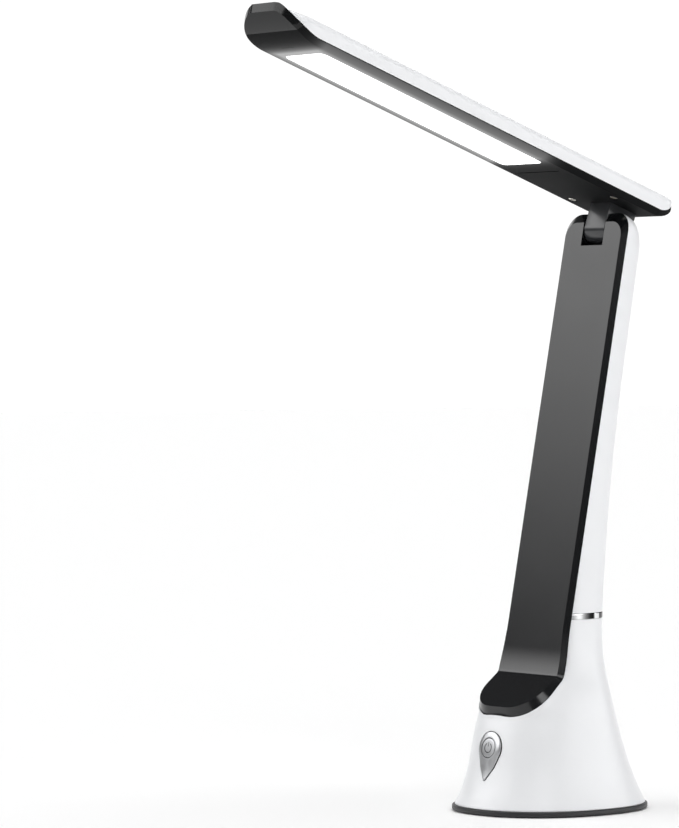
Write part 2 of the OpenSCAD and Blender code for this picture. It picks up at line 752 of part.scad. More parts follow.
module switch_body() color("black") at_button() difference() {
    translate([-switch_w / 2, -switch_w / 2, -board_depth]) cube([switch_w, switch_w, switch_h]);
    translate([0, 0, -board_depth + switch_floor]) cylinder(d = plunger_d + 2 * button_gap, h = switch_h);
}

module switch_plunger() color("ivory") at_button() {
    low = -board_depth + switch_floor + button_travel + button_gap;
    translate([0, 0, low]) cylinder(d = plunger_d, h = rod_end - low);
}

module band() color("silver") difference() {
    body(base_h, stem_z, 0, outer_steps, 1);
    body(base_h - over, stem_z + over, shell_t, inner_steps, collar_levels);
    panel_pocket();
}

// Stem shell with the shelf that carries the yoke
module stem_shell() color("white") difference() {
    union() {
        difference() {
            stem_body(stem_z, band_proud, outer_steps);
            stem_body(stem_z - over, shell_t, inner_steps);
        }
        intersection() {
            stem_body(stem_z, shell_t / 2, outer_steps);
            at_stem() translate([-half_w, tab_y + yoke_t, shelf_z - shelf_t]) cube([stem_w, slot_reach, shelf_t]);
        }
    }
    panel_pocket();
    slot(slot_wall + fit);
    at_stem() yoke_screw_places() screw_cut(screw_head_t);
}

// Dark trough that lines the hinge's slot from the panel to the rear
module slot_liner() color("black") difference() {
    intersection() {
        stem_body(stem_z, band_proud, outer_steps);
        slot(slot_wall);
    }
    panel_pocket();
    slot(0);
    at_stem() on_pin(pin_d + 2 * fit, -clamp_x, clamp_x);
}

module front_panel() color("black") difference() {
    at_stem() loft(panel_rows(0, 0, panel_t, brow_len));
    slot(0);
}

module hinge_yoke() color("silver") at_stem() difference() {
    union() {
        for (x = [-clamp_x, ear_x]) translate([x, 0, 0]) rotate([90, 0, 90]) linear_extrude(yoke_t) {
            circle(ear_r, $fn = 48);
            translate([-ear_r, shelf_z]) square([2 * ear_r, -shelf_z]);
        }
        translate([-clamp_x, -ear_r, shelf_z]) cube([2 * clamp_x, 2 * ear_r, yoke_t]);
        translate([-ear_x, tab_y, shelf_z - shelf_t]) cube([2 * ear_x, yoke_t, shelf_t + yoke_t]);
    }
    on_pin(pin_d + 2 * pin_gap, -clamp_x - over, clamp_x + over);
    yoke_screw_places() screw_cut(screw_head_t);
}

module yoke_screws() color("silver") at_stem() yoke_screw_places() screw();

nut_x = clamp_x + washer_t;
module hinge_pin() color("silver") at_stem() {
    on_pin(pin_d, -nut_x - pin_head_t / 2, nut_x + nut_t + pin_head_t / 2);
    on_pin(washer_d, -nut_x - pin_head_t, -nut_x);
}

module friction_washers() color("silver") at_stem() for (x = [-nut_x, clamp_x]) difference() {
    on_pin(washer_d, x, x + washer_t);
    on_pin(pin_d + 2 * pin_gap, x - over, x + washer_t + over);
}

module pin_nut() color("silver") at_stem() difference() {
    translate([nut_x, 0, 0]) rotate([90, 0, 90]) linear_extrude(nut_t)
        intersection_for(turn = [0, 60, 120]) rotate(turn) square([nut_w, 2 * nut_w], center = true);
    on_pin(pin_d + 2 * fit, nut_x - over, nut_x + nut_t + over);
}

// Head: the frame's rim is a skin that ends where it meets the flat top
tip_edge_t = 1.6;
top_edge_t = 0.5;
slit_gap = 10.7;
tip_slot_gap = 9.3;
tip_slot_len = 9.4;
neck_top = head_rise + frame_t;
head_top = head_rise + head_t;
tip_top = head_t + tip_rise;
tip_turn = acos((curl_r - tip_top) / (curl_r - tip_edge_t));
tail_turn = acos((tail_r - head_t) / (tail_r - frame_t));
head_e1 = curl_start + curl_r * tip_turn * PI / 180;
head_e0 = -tail_start - tail_r * tail_turn * PI / 180;
function head_point(x, s, off) =
    let(p = curl_point(s, off, head_rise, -tail_start, tail_r, curl_start, curl_r)) [x, -p[0], p[1]];
function rim_off(s) =
    s > curl_start ? min(frame_t, curl_r - (curl_r - tip_top) / cos((s - curl_start) / curl_r * 180 / PI))
    : s < -tail_start ? min(frame_t, tail_r - (tail_r - head_t) / cos((-tail_start - s) / tail_r * 180 / PI))
    : frame_t;

// Place along the skin of a point at a distance from the hinge, in the curls at either end
function tip_place(a, off) = curl_start + curl_r * asin((a - curl_start) / (curl_r - off)) * PI / 180;
function tail_place(a, off) = -tail_start + tail_r * asin((a + tail_start) / (tail_r - off)) * PI / 180;

// Half width and place of each row between two ends, for corners that are round seen from below
function head_rows(e0, e1, off0, off1, c0, c1, w) =
    let(
        a0 = -head_point(0, e0, off0)[1],
        a1 = -head_point(0, e1, off1)[1],
        d0 = tail_place(a0 + c0, off0) - e0,
        d1 = e1 - tip_place(a1 - c1, off1)
    )
    [for (s = stations(e0, e1, d0, d1, -tail_start, curl_start))
        let(off = s < 0 ? off0 : off1, a = -head_point(0, s, off)[1])
        [s, outline_half(a, a0, a1, c0, c1, w)]];

rim_rows = head_rows(head_e0, head_e1, frame_t, tip_edge_t, tail_corner, tip_corner, half_w);
face_rows = head_rows(head_e0 + tail_bevel, head_e1 - tip_bevel, 0, 0,
    tail_corner - tail_bevel / 2, tip_corner - frame_t, half_w - frame_t);

function frame_rows() =
    [for (i = [0:len(rim_rows) - 1])
        let(rim = rim_rows[i], face = face_rows[i], off = rim_off(rim[0]))
        [
            head_point(-face[1], face[0], 0), head_point(face[1], face[0], 0),
            head_point(rim[1], rim[0], off), head_point(-rim[1], rim[0], off)
        ]];

// Fine line cut across the underside
module cut_line(s, len) {
    translate([-len / 2, -s - line_w / 2, head_rise - over]) cube([len, line_w, line_t + over]);
}

module head_screw_places() {
    for (i = [-1, 1]) translate([i * head_screw_x, -head_screw_s, head_rise]) children();
}

module head_frame() color("black") at_head() difference() {
    loft(frame_rows());
    translate([0, -window_mid, head_rise - over]) rounded_slab(window_w, window_len, frame_t + 2 * over, window_r);
    translate([-neck_w / 2 - fit, -barrel_r - fit, head_rise - over])
        cube([neck_w + 2 * fit, barrel_r + neck_back + 2 * fit, frame_t + 2 * over]);
    cut_line(window_mid - window_len / 2 - slit_gap, window_w);
    cut_line(window_mid + window_len / 2 + tip_slot_gap, tip_slot_len);
    head_screw_places() screw_cut(screw_head_t);
}

// Cross-sections of the white cover from the frame's rim up to the flat top
function cover_rows() =
    [for (rim = rim_rows)
        let(p = head_point(0, rim[0], rim_off(rim[0])), rise = head_top - p[2], y = p[1], w = rim[1])
        if (rise > top_edge_t)
            let(r = min(cover_edge, rise * 3 / 4), q = r * (1 - cos(45)))
            [
                [-w, y, p[2]], [w, y, p[2]], [w, y, head_top - r], [w - q, y, head_top - q],
                [w - r, y, head_top], [r - w, y, head_top], [q - w, y, head_top - q], [-w, y, head_top - r]
            ]];

ceiling = head_top - cover_t;
board_top = neck_top + ledge_t + reflector_h + led_board_t;
module head_cover() color("white") at_head() difference() {
    union() {
        difference() {
            loft(cover_rows());
            translate([0, tail_start + frame_t, 0]) rotate([90, 0, 0])
                linear_extrude(tail_start + curl_start + 2 * frame_t) polygon([
                    [cover_t - half_w, neck_top - frame_t], [half_w - cover_t, neck_top - frame_t],
                    [half_w - cover_t, ceiling - cover_edge / 2], [half_w - cover_t - cover_edge / 2, ceiling],
                    [cover_t + cover_edge / 2 - half_w, ceiling], [cover_t - half_w, ceiling - cover_edge / 2]
                ]);
        }
        for (i = [-1, 0, 1]) translate([-window_w / 2, -window_mid + i * window_len / 3, board_top])
            cube([window_w, rib_t, ceiling - board_top + cover_t / 2]);
        for (i = [-1, 1]) translate([i * head_screw_x, -head_screw_s, neck_top + neck_flange_t])
            cylinder(d = boss_d, h = ceiling - neck_top - neck_flange_t + cover_t / 2);
    }
    head_screw_places() screw_cut(screw_head_t);
}

module head_screws() color("silver") at_head() head_screw_places() screw();

// Light unit, stacked on the frame: diffuser, reflector, board and lights
module diffuser() color("white") at_head() translate([0, -window_mid, head_rise]) {
    rounded_slab(window_w - 2 * fit, window_len - 2 * fit, frame_t, window_r - fit);
    translate([0, 0, frame_t])
        rounded_slab(window_w + 2 * ledge_w, window_len + 2 * ledge_w, ledge_t, window_r + ledge_w);
}

module reflector() color("white") at_head() translate([0, -window_mid, neck_top + ledge_t]) difference() {
    rounded_slab(window_w + 2 * ledge_w, window_len + 2 * ledge_w, reflector_h, window_r + ledge_w);
    translate([0, 0, -over]) rounded_slab(window_w, window_len, reflector_h + 2 * over, window_r);
}

module led_board() color("white") at_head() translate([0, -window_mid, board_top - led_board_t])
    rounded_slab(window_w + 2 * ledge_w, window_len + 2 * ledge_w, led_board_t, window_r + ledge_w);

module led_chips() color("khaki") at_head()
    for (i = [-1, 1], k = [0:led_count - 1])
        translate([
            i * window_w / 4 - led_w / 2,
            -window_mid + ((k + 1 / 2) / led_count - 1 / 2) * window_len - led_len / 2,
            board_top - led_board_t - led_t
        ]) cube([led_w, led_len, led_t]);

// Neck: barrel on the pin, arm between the cheeks, and a flange inside the head
module neck() color("black") at_head() difference() {
    heel = head_rise - neck_heel;
    flange_len = head_screw_s + boss_d / 2 + barrel_r;
    union() {
        translate([-neck_w / 2, 0, 0]) rotate([90, 0, 90]) linear_extrude(neck_w) hull() {
            circle(barrel_r, $fn = 64);
            translate([-barrel_r, heel]) square([barrel_r + neck_back, neck_top - heel]);
        }
        translate([0, barrel_r - flange_len / 2, neck_top])
            rounded_slab(2 * head_screw_x + boss_d, flange_len, neck_flange_t, boss_d / 2);
    }
    on_pin(pin_d + 2 * pin_gap, -neck_w, neck_w);
    head_screw_places() screw_cut(screw_head_t);
}

base_ring();
bottom_cover();
foot_pad();
cover_screws();
ballast_plate();
battery_cell();
battery_cradle();
base_shell();
band();
stem_shell();
front_panel();
slot_liner();
hinge_yoke();
hinge_pin();
pin_nut();
friction_washers();
yoke_screws();
control_board();
switch_body();
charge_board();
charge_socket();
button_bezel();
power_button();
switch_plunger();
head_cover();
head_frame();
diffuser();
reflector();
led_board();
led_chips();
neck();
head_screws();
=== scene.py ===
"""Folding light therapy lamp: housings, head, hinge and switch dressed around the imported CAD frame."""
import json
import math

import bmesh
import bpy
from bpy.props import FloatProperty, FloatVectorProperty, IntProperty, PointerProperty
from mathutils import Euler, Matrix, Vector
from mathutils.geometry import convex_hull_2d


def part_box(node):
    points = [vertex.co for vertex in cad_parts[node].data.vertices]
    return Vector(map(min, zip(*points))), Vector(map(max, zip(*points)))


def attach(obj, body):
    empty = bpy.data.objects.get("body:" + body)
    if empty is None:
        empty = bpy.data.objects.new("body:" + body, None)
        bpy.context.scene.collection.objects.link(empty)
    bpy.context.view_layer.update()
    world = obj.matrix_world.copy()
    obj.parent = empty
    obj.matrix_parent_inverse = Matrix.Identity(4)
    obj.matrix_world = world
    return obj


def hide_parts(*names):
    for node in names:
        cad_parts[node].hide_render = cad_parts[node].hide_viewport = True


bl_info = {
    "name": "Folding light therapy lamp",
    "version": (1, 0, 0),
    "blender": (4, 5, 0),
    "location": "View3D > Sidebar > Lamp",
    "description": "Housings, head, hinge and switch of a folding light therapy lamp",
    "category": "Object",
}

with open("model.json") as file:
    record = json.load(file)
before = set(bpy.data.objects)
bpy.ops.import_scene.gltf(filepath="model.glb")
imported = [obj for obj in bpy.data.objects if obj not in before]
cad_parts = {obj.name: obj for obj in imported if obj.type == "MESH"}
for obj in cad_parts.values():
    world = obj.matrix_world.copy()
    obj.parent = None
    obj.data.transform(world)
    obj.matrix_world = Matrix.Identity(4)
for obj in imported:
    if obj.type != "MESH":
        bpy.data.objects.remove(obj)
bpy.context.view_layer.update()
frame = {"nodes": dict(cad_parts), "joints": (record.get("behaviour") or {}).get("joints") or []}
MM = 0.001
# Gap of pieces that are fitted, how far cutters reach past a face, and the least length that a mesh keeps
FIT, OVER, TINY = 0.1 * MM, 1 * MM, MM / 1000
HINGE = next(j for j in frame["joints"] if j["type"] == "hinge")

# Lower housing: height, then how far each half size is from its stem value to its base value
FLARE_SHARES = (
    (0, 1, 1, 1), (0.04, 0.945, 0.945, 0.95), (0.09, 0.865, 0.86, 0.85), (0.15, 0.785, 0.785, 0.735),
    (0.25, 0.675, 0.70, 0.565), (0.36, 0.595, 0.64, 0.40), (0.44, 0.55, 0.58, 0.29), (0.50, 0.505, 0.525, 0.22),
    (0.57, 0.425, 0.525, 0.155), (0.64, 0.325, 0.40, 0.11), (0.71, 0.20, 0.22, 0.075), (0.81, 0.075, 0.065, 0.035),
    (0.90, 0.018, 0.02, 0.012), (1, 0, 0, 0),
)

# Painted reflection bars on the bright band: bearing in degrees from its widest line towards the back, and brightness
PAINTED_REFLECTION_BARS = (
    (-90, 0.8), (-20, 0.4), (-11, 0.4), (-4, 1), (0, 1), (4, 0.5), (9, 0.18), (15, 0.02), (22, 0), (25, 1), (33, 1),
    (35, 0), (46, 0), (49, 0.9), (60, 0.8), (66, 0.1), (73, 0.5), (90, 0.9),
)

# Soft lights of the studio: bearings in degrees of its left and right sides and heights of its lower and upper
# sides, each as the place where the light is nothing and the place where it is full, then its strength
LIGHTS = (
    # Tall light in front on the left: rises softly from the table and ends sharply above
    ((-158, -153), (-90, -100), (0.175, 0.29), (0.60, 0.57), 3.0),
    # Light beside the camera, for the bevels of the foot
    ((-47, -43), (-15, -19), (0.32, 0.37), (0.64, 0.60), 3.0),
    # Low wide light on the right
    ((-8, 8), (85, 60), (-0.01, 0.04), (0.4, 0.3), 2.5),
    # Pale wall behind the lamp, as the camera sees it
    ((100, 112), (178, 168), (-1.1, -1.0), (0.45, 0.3), 0.95),
    # Wide top light
    ((-181, -180), (181, 180), (0.86, 0.93), (1.1, 1.0), 3.4),
)


# ---------------------------------------------------------------- values that a user may change

def length(name, text, millimetres):
    """A length of the lamp, given in millimetres and kept in metres."""
    return FloatProperty(
        name=name, description=text, default=millimetres * MM, min=0, subtype="DISTANCE", unit="LENGTH")


def turn(name, text, degrees):
    """An angle, given in degrees."""
    return FloatProperty(name=name, description=text, default=math.radians(degrees), subtype="ANGLE", unit="ROTATION")


def colour(name, text, code):
    """A colour, given as an sRGB hex value."""
    return FloatVectorProperty(
        name=name, description=text, default=linear(code), size=4, min=0, max=1, subtype="COLOR")


def linear(code):
    """Linear red, green, blue and alpha of an sRGB hex value."""
    parts = [int(code[i:i + 2], 16) / 255 for i in (1, 3, 5)]
    return tuple(c / 12.92 if c <= 0.04045 else ((c + 0.055) / 1.055) ** 2.4 for c in parts) + (1.0,)


class LampSizes(bpy.types.PropertyGroup):
    """Sizes of the lamp, the same as in its CAD model."""

    base_len: length("Base length", "Length of the base from front to back", 102)
    base_w: length("Base width", "Width of the base", 85)
    base_h: length("Base height", "Height at which the bright band begins", 95.5)
    shell_t: length("Wall", "Wall thickness of the white housings", 2)
    ring_h: length("Trim ring height", "Height of the dark trim ring", 2.6)
    ring_flange: length("Trim ring flange", "Width of the trim ring's flange", 4)
    pad_h: length("Foot height", "Height of the rubber foot below the trim ring", 0.4)
    band_h: length("Band height", "Height of the bright band", 3)
    band_proud: length("Band proud", "How far the band stands out of the housing", 0.2)
    lean: turn("Stem lean", "Angle at which the stem leans back", 11.2)
    stem_w: length("Stem width", "Width of the stem, the front panel and the head", 46.4)
    stem_front: length("Stem front", "Depth of the stem in front of its widest line", 20)
    stem_back_low: length("Stem back, low", "Depth of the stem behind its widest line at the band", 25)
    stem_back_top: length("Stem back, top", "Depth of the stem behind its widest line at the top", 20.8)
    top_rise: length("Top rise", "Height of the stem's top above the hinge", 8.4)
    cheek_r: length("Cheek radius", "Radius of the stem's top corners seen from the front", 10)
    crown_r: length("Crown radius", "Radius of the stem's top seen from the side", 20)
    spine_soft: length("Spine softness", "Softness of the bend where the stem leaves the upright", 18)
    panel_t: length("Panel thickness", "Thickness of the panel and depth of its bevelled rim", 2.5)
    panel_reach: length("Panel reach", "Distance of the panel's face in front of the hinge", 7.7)
    sweep_start: length("Sweep start", "Distance from the hinge to the gentle sweep above the foot", 214)
    sweep_r: length("Sweep radius", "Radius of the gentle sweep above the foot", 140)
    flare_start: length("Foot bend", "Distance from the hinge to the foot's bend", 226.3)
    flare_r: length("Foot bend radius", "Radius of the foot's bend", 4)
    flare_angle: turn("Foot angle", "Angle between the panel and the foot", 41.3)
    foot_len: length("Foot length", "Length of the flat foot in front of its bend", 26.2)
    foot_spread: length("Foot spread", "How much further each side of the panel reaches at the foot", 1.3)
    lip_t: length("Foot lip", "Thickness of the foot at its tip", 5)
    foot_corner: length("Foot corner", "Radius of the foot's corners", 18.5)
    brow_t: length("Brow depth", "Depth of the panel's rounded top edge", 3.3)
    brow_len: length("Brow length", "Length of the panel's rounded top edge", 5)
    head_tilt: turn("Head tilt", "Angle of the head above level", 19)
    head_rise: length("Head rise", "Distance of the head's underside from the hinge", 12.2)
    head_t: length("Head thickness", "Thickness of the head", 11.5)
    tip_run: length("Tip run", "Flat run between the light window and the tip's curl", 8.4)
    curl_r: length("Tip curl radius", "Radius of the tip's curl", 26)
    tip_corner: length("Tip corner", "Radius of the tip's corners", 15.3)
    tip_bevel: length("Tip bevel", "Length of the bevel at the tip", 4)
    tip_rise: length("Tip rise", "How far the curled tip stands above the flat top", 3)
    tail_start: length("Tail start", "Distance from the hinge to the start of the rear curl", 11.5)
    tail_r: length("Tail curl radius", "Radius of the rear curl", 12.5)
    tail_corner: length("Tail corner", "Radius of the rear corners", 5)
    tail_bevel: length("Tail bevel", "Length of the bevel at the rear end", 2.4)
    frame_t: length("Frame rim", "Depth of the black frame's bevelled rim", 2.6)
    cover_t: length("Cover wall", "Wall thickness of the white top cover", 1.6)
    cover_edge: length("Cover edge", "Rounding of the top cover's long edges", 4)
    window_len: length("Window length", "Length of the light window", 148.2)
    window_w: length("Window width", "Width of the light window", 30.4)
    window_start: length("Window start", "Distance from the hinge to the light window", 62.2)
    window_r: length("Window corner", "Corner radius of the light window", 3.5)
    ledge_w: length("Ledge width", "Width of the diffuser's ledge", 1.5)
    ledge_t: length("Ledge thickness", "Thickness of the diffuser's ledge", 0.8)
    neck_w: length("Neck width", "Width of the neck between the cheeks", 15.2)
    barrel_r: length("Barrel radius", "Radius of the neck's barrel", 7.5)
    neck_back: length("Neck reach", "Reach of the neck behind the hinge", 10.9)
    neck_heel: length("Neck heel", "Length of the neck's upright rear face", 2.8)
    neck_flange_t: length("Neck flange", "Thickness of the neck's flange inside the head", 2.4)
    pin_d: length("Pin diameter", "Diameter of the hinge pin", 5)
    slot_gap: length("Slot gap", "Gap between the neck and the stem's slot", 0.4)
    slot_floor_gap: length("Slot floor gap", "Gap below the barrel in the slot", 1.8)
    slot_wall: length("Slot wall", "Wall thickness beside and below the slot", 1.6)
    button_d: length("Button diameter", "Diameter of the round power button", 9.6)
    button_proud: length("Button proud", "How far the button stands out of the wall", 0.7)
    button_z: length("Button height", "Height of the button's middle above the table", 32.5)
    button_gap: length("Button gap", "Gap round the button", 0.35)
    bezel_w: length("Surround width", "Width of the teardrop surround", 17)
    bezel_len: length("Surround length", "Length of the teardrop surround", 25)
    bezel_tip: length("Surround tip", "Radius of the teardrop's tip", 1)
    bezel_sink: length("Surround sink", "Depth to which the surround is let into the wall", 1)
    bezel_rise: length("Surround rise", "How far the surround stands out of the wall", 0.5)
    socket_w: length("Inlet width", "Width of the charging inlet's opening", 9)
    socket_h: length("Inlet height", "Height of the charging inlet", 3.2)
    socket_mid: length("Inlet place", "Height of the charging inlet's middle", 11.8)
    screw_d: length("Shank diameter", "Diameter of the screws' shanks", 2.4)
    screw_head_d: length("Screw head diameter", "Diameter of the screws' heads", 4.4)
    screw_head_t: length("Screw head thickness", "Thickness of the screws' heads", 1.2)
    screw_len: length("Screw length", "Length of the screws' shanks", 7)
    head_screw_x: length("Head screw side", "Distance of the head's screws from its middle line", 15.5)
    head_screw_s: length("Head screw place", "Distance of the head's screws from the hinge", 13.1)
    around: IntProperty(name="Points around", description="Points round each ring of a housing", default=144, min=24)


class LampColours(bpy.types.PropertyGroup):
    """Base colours of the visible finishes."""

    white: colour("White", "Moulded white housings", "#EDEEF0")
    panel: colour("Panel", "Dark front panel", "#111214")
    frame: colour("Frame", "Dark frame of the head", "#101112")
    neck: colour("Neck", "Satin neck", "#343537")
    ring: colour("Trim ring", "Dark trim ring", "#1F2022")
    chrome: colour("Chrome", "Bright band", "#F4F5F6")
    satin: colour("Satin metal", "Switch surround and button", "#B9BABC")
    rubber: colour("Rubber", "Foot under the base", "#0C0C0D")
    light: colour("Light", "Lit window", "#FFFFFF")


class LampStage(bpy.types.PropertyGroup):
    """Camera and light."""

    distance: length("Camera distance", "Distance of the camera from the lamp", 2085)
    side: length("Camera side", "Shift of the camera to its left", 105.2)
    height: length("Camera height", "Height of the camera above the table", 226.6)
    bearing: turn("Camera bearing", "Angle of the camera round the lamp", 51.2)
    lens: FloatProperty(name="Lens", description="Focal length in millimetres", default=181.3, min=1)
    shift: FloatProperty(name="Lens shift", description="Upward shift of the lens", default=-0.0713)
    room: FloatProperty(name="Room light", description="Even light of the room", default=0.11, min=0)
    floor: length("Floor size", "Half size of the pale floor", 12000)


# ---------------------------------------------------------------- shape rules

def mix(a, b, t):
    return a + (b - a) * t


def clamp(value, low=0.0, high=1.0):
    return min(max(value, low), high)


def rising(low, high, count):
    return [mix(low, high, i / count) for i in range(count + 1)]


def quarter(count):
    """Angles from nothing to a right angle."""
    return [i / count * math.pi / 2 for i in range(count + 1)]


def edge_round(edge, count=4):
    """Steps of a small round: how far along each is, and how far in it still is."""
    return [(edge * (1 - math.cos(a)), edge * (1 - math.sin(a))) for a in quarter(count)]


def placed(place, points):
    """Points of a frame, put where the frame is."""
    return [place @ Vector(p) for p in points]


def smooth_at(rows, t, col):
    """Smooth value of a table's column at a place between its rows."""
    i = max(k for k in range(len(rows) - 1) if t >= rows[k][0] or k == 0)
    gap = rows[i + 1][0] - rows[i][0]
    u = (t - rows[i][0]) / gap

    def slope(k):
        a, b = max(k - 1, 0), min(k + 1, len(rows) - 1)
        return (rows[b][col] - rows[a][col]) / (rows[b][0] - rows[a][0]) * gap

    return ((2 * u ** 3 - 3 * u ** 2 + 1) * rows[i][col] + (u ** 3 - 2 * u ** 2 + u) * slope(i)
            + (3 * u ** 2 - 2 * u ** 3) * rows[i + 1][col] + (u ** 3 - u ** 2) * slope(i + 1))


def outline_half(s, e0, e1, c0, c1, w):
    """Half width of an outline with rounded ends at a place along it."""
    if s < e0 + c0:
        return w - c0 + math.sqrt(max(c0 ** 2 - (e0 + c0 - s) ** 2, 0))
    if s > e1 - c1:
        return w - c1 + math.sqrt(max(c1 ** 2 - (s - e1 + c1) ** 2, 0))
    return w


# Rows in a corner, a curl and a straight run, and rings up a housing's outside and inside
CORNER_STEPS, CURL_STEPS, RUN_STEPS = 20, 20, 6
SKIN_RINGS, HOLLOW_RINGS, STEM_RINGS, DOME_RINGS = 90, 30, 24, 36


def first_corner(e0, c0):
    """Places along a rounded corner where an outline starts, closest at its end."""
    return [e0 + c0 * (1 - math.cos(a)) for a in quarter(CORNER_STEPS)]


def last_corner(e1, c1):
    """Places along a rounded corner where an outline ends, closest at its end."""
    return [e1 - c1 * (1 - math.sin(a)) for a in quarter(CORNER_STEPS)]


def stations(e0, e1, c0, c1, s0, s1):
    """Places along an outline: first corner, first curl, straight run, last curl, last corner."""
    places = first_corner(e0, c0)
    if e0 + c0 < s0:
        places += rising(e0 + c0, s0, CURL_STEPS)[1:]
    places += rising(max(e0 + c0, s0), min(e1 - c1, s1), RUN_STEPS)[1:-1]
    if e1 - c1 > s1:
        places += rising(s1, e1 - c1, CURL_STEPS)[:-1]
    return places + last_corner(e1, c1)


class Lamp:
    """Every size of the lamp, with what follows from them."""

    def __init__(self, sizes):
        for name in LampSizes.__annotations__:
            setattr(self, name, getattr(sizes, name))
        self.pivot = Vector(HINGE["pos_m"])
        self.half_w = self.stem_w / 2
        self.tan_lean = math.tan(self.lean)
        self.top_z = self.pivot.z + self.top_rise
        self.stem_z = self.base_h + self.band_h
        self.shell_z = self.pad_h + self.ring_h
        # Power of the superellipse that the base and stem are in plan
        self.plan_power = 2.2
        self.stem_frame, self.head_frame = (
            Matrix.Translation(self.pivot) @ Matrix.Rotation(-angle, 4, "X") for angle in (self.lean, self.head_tilt))
        low, high = self.button_z - self.bezel_w / 2, self.button_z + self.bezel_w / 2
        self.button_lean = math.atan((self.front_half(low) - self.front_half(high)) / self.bezel_w)
        place = Vector((0, self.spine_y(self.button_z) - self.front_half(self.button_z), self.button_z))
        self.button_frame = (
            Matrix.Translation(place) @ Matrix.Rotation(math.pi / 2 - self.button_lean, 4, "X"))
        self.slot_w = self.neck_w + 2 * self.slot_gap
        self.slot_floor = self.barrel_r + self.slot_floor_gap
        self.sweep_turn = (self.flare_start - self.sweep_start) / self.sweep_r
        self.bend_end = self.flare_start + self.flare_r * (self.flare_angle - self.sweep_turn)
        self.flare_end = self.bend_end + self.foot_len
        self.spread_start = 2 * self.sweep_start - self.flare_start
        self.panel_top = (
            (self.top_rise - (self.panel_reach - self.brow_t) * math.sin(self.lean)) / math.cos(self.lean))
        self.window_mid = self.window_start + self.window_len / 2
        self.curl_start = self.window_start + self.window_len + self.tip_run
        self.head_top = self.head_rise + self.head_t
        # Depth of the tip's outer edge, least height of the cover, and height of the frame's upright rim under it
        self.tip_edge_t, self.top_edge_t, self.seam_h = 1.6 * MM, 0.5 * MM, 0.45 * MM
        self.tip_top = self.head_t + self.tip_rise
        # Curls of the head's skin: start, radius, way along the head and height that their rim reaches
        self.curls = (
            (self.curl_start, self.curl_r, 1, self.tip_top), (-self.tail_start, self.tail_r, -1, self.head_t))
        tip_turn = math.acos((self.curl_r - self.tip_top) / (self.curl_r - self.tip_edge_t))
        tail_turn = math.acos((self.tail_r - self.head_t) / (self.tail_r - self.frame_t))
        self.head_e1 = self.curl_start + self.curl_r * tip_turn
        self.head_e0 = -self.tail_start - self.tail_r * tail_turn
        self.rim_rows = self.head_rows(
            self.head_e0, self.head_e1, self.frame_t, self.tip_edge_t,
            self.tail_corner, self.tip_corner, self.half_w)
        self.face_rows = self.head_rows(
            self.head_e0 + self.tail_bevel, self.head_e1 - self.tip_bevel, 0, 0,
            self.tail_corner - self.tail_bevel / 2, self.tip_corner - self.frame_t, self.half_w - self.frame_t)

    # White housing
    def spine_y(self, z):
        """Place of the plan's widest line: upright in the base, and softly over into the stem's lean."""
        b = (self.pivot.y - (self.panel_reach - self.panel_t) / math.cos(self.lean)
             - (self.pivot.z - z) * self.tan_lean)
        soft = self.spine_soft
        return b if b > soft else 0.0 if b < -soft else (b + soft) ** 2 / (4 * soft)

    def round_off(self, z, radius):
        """Share of a size that is left at a height, where the stem's top rounds off."""
        u = clamp((z - self.top_z + radius) / radius)
        return math.sqrt(1 - u ** 2)

    def flare(self, z, col):
        """Share of the way from the stem's size to the base's at a height."""
        return smooth_at(FLARE_SHARES, clamp(z / self.base_h), col)

    def side_half(self, z):
        wide = mix(self.half_w, self.base_w / 2, self.flare(z, 1))
        return wide - self.cheek_r * (1 - self.round_off(z, self.cheek_r))

    def front_half(self, z):
        return mix(self.stem_front, self.base_len / 2, self.flare(z, 2))

    def back_half(self, z):
        share = clamp((z - self.base_h) / (self.top_z - self.base_h))
        depth = mix(self.stem_back_low, self.stem_back_top, share)
        return mix(depth, self.base_len / 2, self.flare(z, 3)) * self.round_off(z, self.crown_r)

    def station(self, z, inset):
        """Height, half width, front and back depth and spine of the housing's plan outline."""
        return (z, self.side_half(z) - inset, self.front_half(z) - inset,
                max(self.back_half(z) - inset, FIT), self.spine_y(z))

    def on_housing(self, point, out):
        """How far a point lies outside the housing grown by a length, as a share of its outline."""
        _, w, f, b, y = self.station(point.z, -out)
        depth = b if point.y > y else f
        return abs(point.x / w) ** self.plan_power + abs((point.y - y) / depth) ** self.plan_power - 1

    # Front panel
    def panel_depth(self, s):
        """Thickness of the panel, which grows in the foot and in the brow at its top."""
        if s > self.bend_end:
            return mix(self.panel_t, self.lip_t, (s - self.bend_end) / self.foot_len)
        if s < 0:
            return mix(self.panel_t, self.brow_t, min(-s / self.panel_top, 1))
        return self.panel_t

    def panel_point(self, x, s, off):
        """Point of the panel's skin: a straight run, a gentle sweep, a tight bend and the flat foot."""
        place, turn = Vector((min(s, self.sweep_start), 0)), 0.0
        for end, radius in ((self.flare_start, self.sweep_r), (self.bend_end, self.flare_r)):
            start = self.sweep_start if radius == self.sweep_r else self.flare_start
            more = clamp((s - start) / radius, 0, (end - start) / radius)
            place += radius * Vector((math.sin(turn + more) - math.sin(turn), math.cos(turn) - math.cos(turn + more)))
            turn += more
        place += max(s - self.bend_end, 0) * Vector((math.cos(turn), math.sin(turn)))
        return self.stem_frame @ Vector(
            (x, -self.panel_reach - place.y - off * math.cos(turn), off * math.sin(turn) - place.x))

    def panel_half(self, s):
        """Half width of the panel, which spreads smoothly towards the foot."""
        u = clamp((s - self.spread_start) / (self.flare_start - self.spread_start))
        return self.half_w + self.foot_spread * u ** 2 * (3 - 2 * u)

